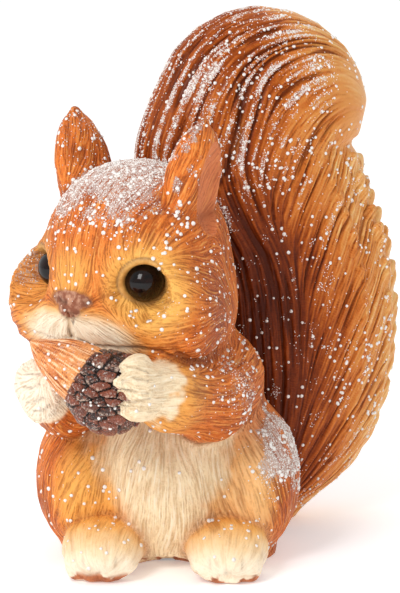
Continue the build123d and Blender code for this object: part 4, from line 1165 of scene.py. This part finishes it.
def mat_tail():
    m = NT_("amber_resin")
    ton_and_shade, std, snw, cre_shade = m.attr("zone")
    edg, crl, frn, sm_ = m.attr("detail")
    n_big, n_mid, n_fine = m.noise(11, 3), m.noise(2.0, 3), m.noise(0.5, 2)
    carved = m.strokes(0.95, 5.2, 13)
    # tone with painted shade near the body, plus painted highlight on the strand ridges and painted shade in their
    # furrows
    t = m.math("ADD", ton_and_shade, m.math("MULTIPLY", m.math("SUBTRACT", std, 0.5), 0.36))
    t = m.math("ADD", t, m.math("MULTIPLY", m.math("SUBTRACT", n_big, 0.5), 0.14), True)
    t = m.math("ADD", t, m.math("MULTIPLY", m.math("MULTIPLY", m.math("SUBTRACT", carved, 0.5), sm_), 1.9), True)
    c = m.cramp(t, [(0.0, srgb(76, 24, 3)), (0.22, srgb(118, 46, 9)), (0.42, srgb(160, 74, 19)), (0.62, srgb(204, 115, 46)), (0.82, srgb(222, 150, 78)), (1.0, srgb(240, 200, 136))])
    # painted shade in the strand furrows
    c = m.mix(m.math("MULTIPLY", m.ramp(std, 0.36, 0.08), 0.45), c, srgb(84, 30, 6))
    # painted shade in the fine carved grooves
    c = m.mix(m.math("MULTIPLY", m.math("MULTIPLY", m.ramp(carved, 0.465, 0.405), sm_), 0.55), c, srgb(88, 30, 6))
    # painted shade in the crease down the front
    c = m.mix(m.math("MULTIPLY", cre_shade, 0.6), c, srgb(60, 20, 6))
    sp = m.ramp(m.math("ADD", m.noise(0.6, 2, 0.7), m.math("MULTIPLY", snw, 0.5)), 0.70, 0.86)
    sp = m.math("MULTIPLY", m.math("MULTIPLY", sp, m.ramp(snw, 0.05, 0.3)), m.ramp(carved, 0.46, 0.54, 0.25, 1.0))
    c = m.mix(m.math("MULTIPLY", sp, 0.80), c, srgb(226, 216, 212))
    rough = m.math("ADD", m.ramp(n_fine, 0.3, 0.7, 0.30, 0.42), m.math("MULTIPLY", sp, 0.35))
    h = m.math("ADD", m.math("MULTIPLY", n_mid, 0.3), m.math("MULTIPLY", sp, 0.6))
    h = m.math("ADD", h, m.math("MULTIPLY", m.math("MULTIPLY", m.ramp(carved, 0.42, 0.58), sm_), 0.9))
    return m.set(Base_Color=c, Roughness=rough, Normal=m.bump(h, 0.6, 0.0003), Subsurface_Weight=0.2, Subsurface_Radius=(1.0, 0.42, 0.14),
                 Subsurface_Scale=0.0025, Specular_IOR_Level=0.12)


def mat_nut():
    m = NT_("painted_nut")
    g_, up, tp, _ = m.attr("zone")
    c = m.mix(m.ramp(m.noise(3, 3), 0.3, 0.7), srgb(232, 150, 86), srgb(220, 130, 68))
    carved = m.strokes(0.75, 3.0)
    c = m.mix(m.math("MULTIPLY", up, 0.4), c, srgb(240, 172, 108))
    # painted shade in the grooves of the carved strokes, painted highlight on their ridges
    c = m.mix(m.math("MULTIPLY", m.ramp(g_, 0.42, 0.1), 0.3), c, srgb(166, 76, 34))
    c = m.mix(m.math("MULTIPLY", m.ramp(carved, 0.49, 0.42), 0.85), c, srgb(150, 68, 30))
    c = m.mix(m.math("MULTIPLY", m.ramp(carved, 0.51, 0.57), 0.75), c, srgb(252, 214, 170))
    c = m.mix(m.math("MULTIPLY", m.ramp(m.noise(1.2, 2), 0.56, 0.72), 0.25), c, srgb(236, 214, 204))
    h = m.math("ADD", m.math("MULTIPLY", m.noise(0.4, 2), 0.2), m.ramp(carved, 0.40, 0.56))
    return m.set(Base_Color=c, Roughness=m.ramp(m.noise(0.6), 0.3, 0.7, 0.4, 0.55), Normal=m.bump(h, 0.6, 0.00028), Specular_IOR_Level=0.28)


def mat_cup():
    m = NT_("painted_cap")
    gp, tl, pz, al = m.attr("zone")
    c = m.mix(m.ramp(tl, 0.2, 0.9), srgb(50, 26, 18), srgb(124, 62, 40))
    c = m.mix(m.math("MULTIPLY", m.ramp(m.noise(1.0, 3, 0.7), 0.50, 0.60), 0.65), c, srgb(160, 84, 56))
    # painted shade in the gaps between the scales
    c = m.mix(m.ramp(gp, 0.98, 0.25), c, srgb(16, 8, 6))
    # painted highlight on the raised lower edges of the scales
    edge_highlight = m.math("MULTIPLY", m.math("MULTIPLY", m.ramp(al, 0.56, 0.80), m.ramp(gp, 0.10, 0.5)), m.ramp(m.noise(1.4, 3, 0.7), 0.44, 0.56))
    c = m.mix(m.math("MULTIPLY", edge_highlight, 0.75), c, srgb(206, 176, 156))
    # painted highlight flecks on the raised scales
    fleck_highlight = m.math("MULTIPLY", m.ramp(m.noise(0.7, 3, 0.65), 0.59, 0.66), m.ramp(gp, 0.2, 0.7))
    c = m.mix(m.math("MULTIPLY", fleck_highlight, 0.7), c, srgb(226, 214, 206))
    return m.set(Base_Color=c, Roughness=m.ramp(m.noise(0.7), 0.3, 0.7, 0.18, 0.40), Normal=m.bump(m.noise(0.6, 3, 0.7), 0.9, 0.0006), Specular_IOR_Level=0.5)


def mat_eye():
    m = NT_("glass_bead")
    c = m.mix(m.ramp(m.noise(2.5, 2), 0.4, 0.7), srgb(10, 6, 6), srgb(30, 12, 8))
    return m.set(Base_Color=c, Roughness=m.ramp(m.noise(1.4, 2), 0.2, 0.8, 0.07, 0.12), Specular_IOR_Level=0.3)


def mat_snow(name, rough):
    m = NT_(name)
    v_ = m.voro(1.1)
    c = m.mix(m.ramp(m.noise(2.4, 2), 0.35, 0.65), srgb(255, 255, 252), srgb(240, 230, 220))
    c = m.mix(m.ramp(v_.outputs["Distance"], 0.1, 0.6), c, srgb(250, 244, 238))
    return m.set(Base_Color=c, Roughness=m.ramp(m.noise(0.5, 2), 0.3, 0.7, rough, rough + 0.15), Normal=m.bump(m.noise(0.35, 2), 0.25, 0.0001), Coat_Weight=0.4, Coat_Roughness=0.1)


def mat_plain(name, col, col2, mm, rough, metal=0.0, bump=0.2, coat=0.0, cell=None, spec=0.5):
    m = NT_(name)
    c = m.mix(m.ramp(m.noise(mm, 4, 0.6), 0.35, 0.65), srgb(*col), srgb(*col2))
    h = m.noise(mm * 0.12, 3)
    if cell:
        h = m.math("ADD", h, m.voro(cell).outputs["Distance"])
    return m.set(Base_Color=c, Metallic=metal, Roughness=m.ramp(m.noise(mm * 0.4, 3), 0.3, 0.7, rough, rough + 0.14), Normal=m.bump(h, bump, 0.0002), Coat_Weight=coat, Specular_IOR_Level=spec)


def mat_cell():
    """foil-wrapped cell: plain blue sleeve, paler towards both ends, bare steel at the ends"""
    m = NT_("cell_wrap")
    x = m.n("ShaderNodeSeparateXYZ", None, i0=m.oc).outputs[0]
    scr = m.noise(6, 4)
    c = m.mix(m.ramp(scr, 0.35, 0.65), srgb(89, 129, 179), srgb(80, 118, 166))
    band = m.ramp(m.math("ABSOLUTE", m.math("ADD", x, -OFF[0] * 0.001)), 0.0112, 0.0116)
    c = m.mix(band, c, srgb(150, 174, 204))
    end = m.ramp(m.math("ABSOLUTE", m.math("ADD", x, -OFF[0] * 0.001)), 0.0238, 0.0240)
    c = m.mix(end, c, srgb(200, 202, 204))
    return m.set(Base_Color=c, Metallic=m.math("MULTIPLY", end, 1.0), Roughness=m.ramp(scr, 0.3, 0.7, 0.26, 0.4), Normal=m.bump(m.noise(0.8), 0.1, 0.0001))


def mat_board():
    m = NT_("solder_mask")
    tr = m.n("ShaderNodeTexBrick", {"offset": 0.5}, Vector=m.oc, i4=600.0)
    c = m.mix(m.ramp(m.noise(4, 3), 0.35, 0.65), srgb(24, 92, 58), srgb(18, 76, 46))
    c = m.mix(m.ramp(tr.outputs["Fac"], 0.4, 0.6), c, srgb(40, 118, 74))
    return m.set(Base_Color=c, Roughness=m.ramp(m.noise(1.0), 0.3, 0.7, 0.3, 0.42), Normal=m.bump(tr.outputs["Fac"], 0.3, 0.0001), Coat_Weight=0.3)


MB, MT, MSN, MGL = mat_body(), mat_tail(), mat_snow("frost_grain", 0.45), mat_snow("glitter_flake", 0.16)
body.data.materials.append(MB)
tail.data.materials.append(MT)
nut.data.materials.append(mat_nut())
cup.data.materials.append(mat_cup())
for o in (flk, tflk, aflk):
    o.data.materials.append(MGL)
for o in (grn, tgrn):
    o.data.materials.append(MSN)

BLACK = mat_plain("moulded_black", (30, 30, 32), (40, 40, 42), 5, 0.42, bump=0.25, cell=0.5)
STEEL = mat_plain("plated_steel", (178, 180, 184), (156, 158, 162), 2, 0.24, metal=1.0, bump=0.08)
BRASS = mat_plain("brass", (206, 168, 92), (184, 146, 74), 2, 0.26, metal=1.0, bump=0.1)
RUBBER = mat_plain("foam_gasket", (54, 54, 56), (44, 44, 46), 2, 0.75, bump=0.5, cell=0.45)
BOARD = mat_board()
EYE = mat_eye()
for o in beads:
    o.data.materials.append(EYE)
by_node = {
    "left_eye": EYE, "right_eye": None, "battery_housing": BLACK, "housing_gasket": RUBBER, "door_gasket": RUBBER,
    "housing_screws": STEEL, "door_screw": STEEL, "contact_plates": mat_plain("nickel_plate", (206, 204, 196), (188, 184, 174), 2, 0.2, metal=1.0, bump=0.08),
    "contact_springs": None, "battery_cell_1": mat_cell(), "battery_cell_2": None, "battery_door": None, "screw_insert": BRASS,
    "switch_body": mat_plain("switch_can", (190, 192, 194), (170, 172, 174), 1.6, 0.3, metal=1.0, bump=0.1),
    "switch_knob": mat_plain("knob_plastic", (208, 60, 40), (190, 50, 34), 1.5, 0.38, bump=0.2),
    "control_board": BOARD, "led_board": BOARD, "timer_chip": mat_plain("chip_epoxy", (34, 34, 36), (46, 46, 48), 1.2, 0.5, bump=0.4, cell=0.3),
    "capacitor": mat_plain("capacitor_sleeve", (32, 44, 84), (26, 36, 70), 2, 0.34, bump=0.1, coat=0.2),
    "resistors": mat_plain("resistor_ceramic", (40, 40, 44), (70, 70, 74), 0.8, 0.4, bump=0.2),
    "leds": mat_plain("led_lens", (250, 214, 150), (244, 200, 128), 1.5, 0.12, bump=0.05, coat=0.5),
    "lead_red": mat_plain("red_pvc", (176, 26, 22), (156, 20, 18), 1.6, 0.38, bump=0.15),
    "lead_black": mat_plain("black_pvc", (26, 26, 28), (36, 36, 38), 1.6, 0.4, bump=0.15),
    "tail_plug": mat_plain("plug_plastic", (222, 220, 212), (206, 204, 196), 2, 0.45, bump=0.2)}
by_node["right_eye"] = by_node["left_eye"]
by_node["battery_cell_2"] = by_node["battery_cell_1"]
by_node["contact_springs"] = by_node["contact_plates"]
by_node["battery_door"] = BLACK
for name, mt in by_node.items():
    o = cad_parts[name]
    if not o.material_slots:
        o.data.materials.append(mt)
    for sl in o.material_slots:
        sl.material = mt

# ------------------------------------------------------------------ what rides on what
for o, node in ((body, "body_shell"), (tail, "tail_shell"), (nut, "acorn_nut"), (cup, "acorn_cup"), (beads[0], "left_eye"), (beads[1], "right_eye")):
    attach(o, "figurine")
    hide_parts(node)
for o in (flk, grn, tflk, tgrn, aflk):
    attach(o, "figurine")

# ------------------------------------------------------------------ floor, light
R_ = 3.0
fm = bpy.data.meshes.new("floor")
fm.from_pydata([(-R_, -R_, 0), (R_, -R_, 0), (R_, R_, 0), (-R_, R_, 0)], [], [(0, 1, 2, 3)])
floor = bpy.data.objects.new("floor", fm)
floor.location.z = -0.0002
bpy.context.scene.collection.objects.link(floor)
fl = NT_("floor_paper")
floor.data.materials.append(fl.set(Base_Color=fl.mix(fl.noise(60, 2), srgb(252, 252, 252), srgb(248, 248, 249)), Roughness=0.85, Specular_IOR_Level=0.1, Emission_Color=(1, 1, 1, 1), Emission_Strength=0.28))

w = bpy.data.worlds.new("studio")
bpy.context.scene.world = w
w.use_nodes = True
# soft tent: white behind and above the object, dimmer in front
wt_ = w.node_tree
wc_ = wt_.nodes.new("ShaderNodeTexCoord")
ws_ = wt_.nodes.new("ShaderNodeSeparateXYZ")
wr_ = wt_.nodes.new("ShaderNodeMapRange")
wt_.links.new(wc_.outputs["Generated"], ws_.inputs[0])
wt_.links.new(ws_.outputs[1], wr_.inputs[0])
wr_.interpolation_type = "SMOOTHSTEP"
wr_.inputs[1].default_value, wr_.inputs[2].default_value = -0.6, 0.5
wr_.inputs[3].default_value, wr_.inputs[4].default_value = 0.55, 1.0
wt_.links.new(wr_.outputs[0], wt_.nodes["Background"].inputs[1])
wt_.nodes["Background"].inputs[0].default_value = (1.0, 1.0, 1.0, 1)


def area(name, loc, target, size, energy, col=(1, 1, 1), size_y=None):
    d = bpy.data.lights.new(name, "AREA")
    d.energy, d.size, d.color = energy, size, col
    if size_y:
        d.shape, d.size_y = "RECTANGLE", size_y
    o = bpy.data.objects.new(name, d)
    o.location = loc
    o.rotation_mode = "QUATERNION"
    o.rotation_quaternion = (Vector(target) - Vector(loc)).to_track_quat("-Z", "Y")
    bpy.context.scene.collection.objects.link(o)
    return o


area("key", (-0.50, -0.85, 0.80), (0, 0, 0.08), 0.4, 7.6, size_y=0.6)
sc_ = bpy.context.scene
sc_.view_settings.view_transform = "Standard"
sc_.view_settings.exposure = 0.0
print("scene ready", round(time.time() - T0, 1))
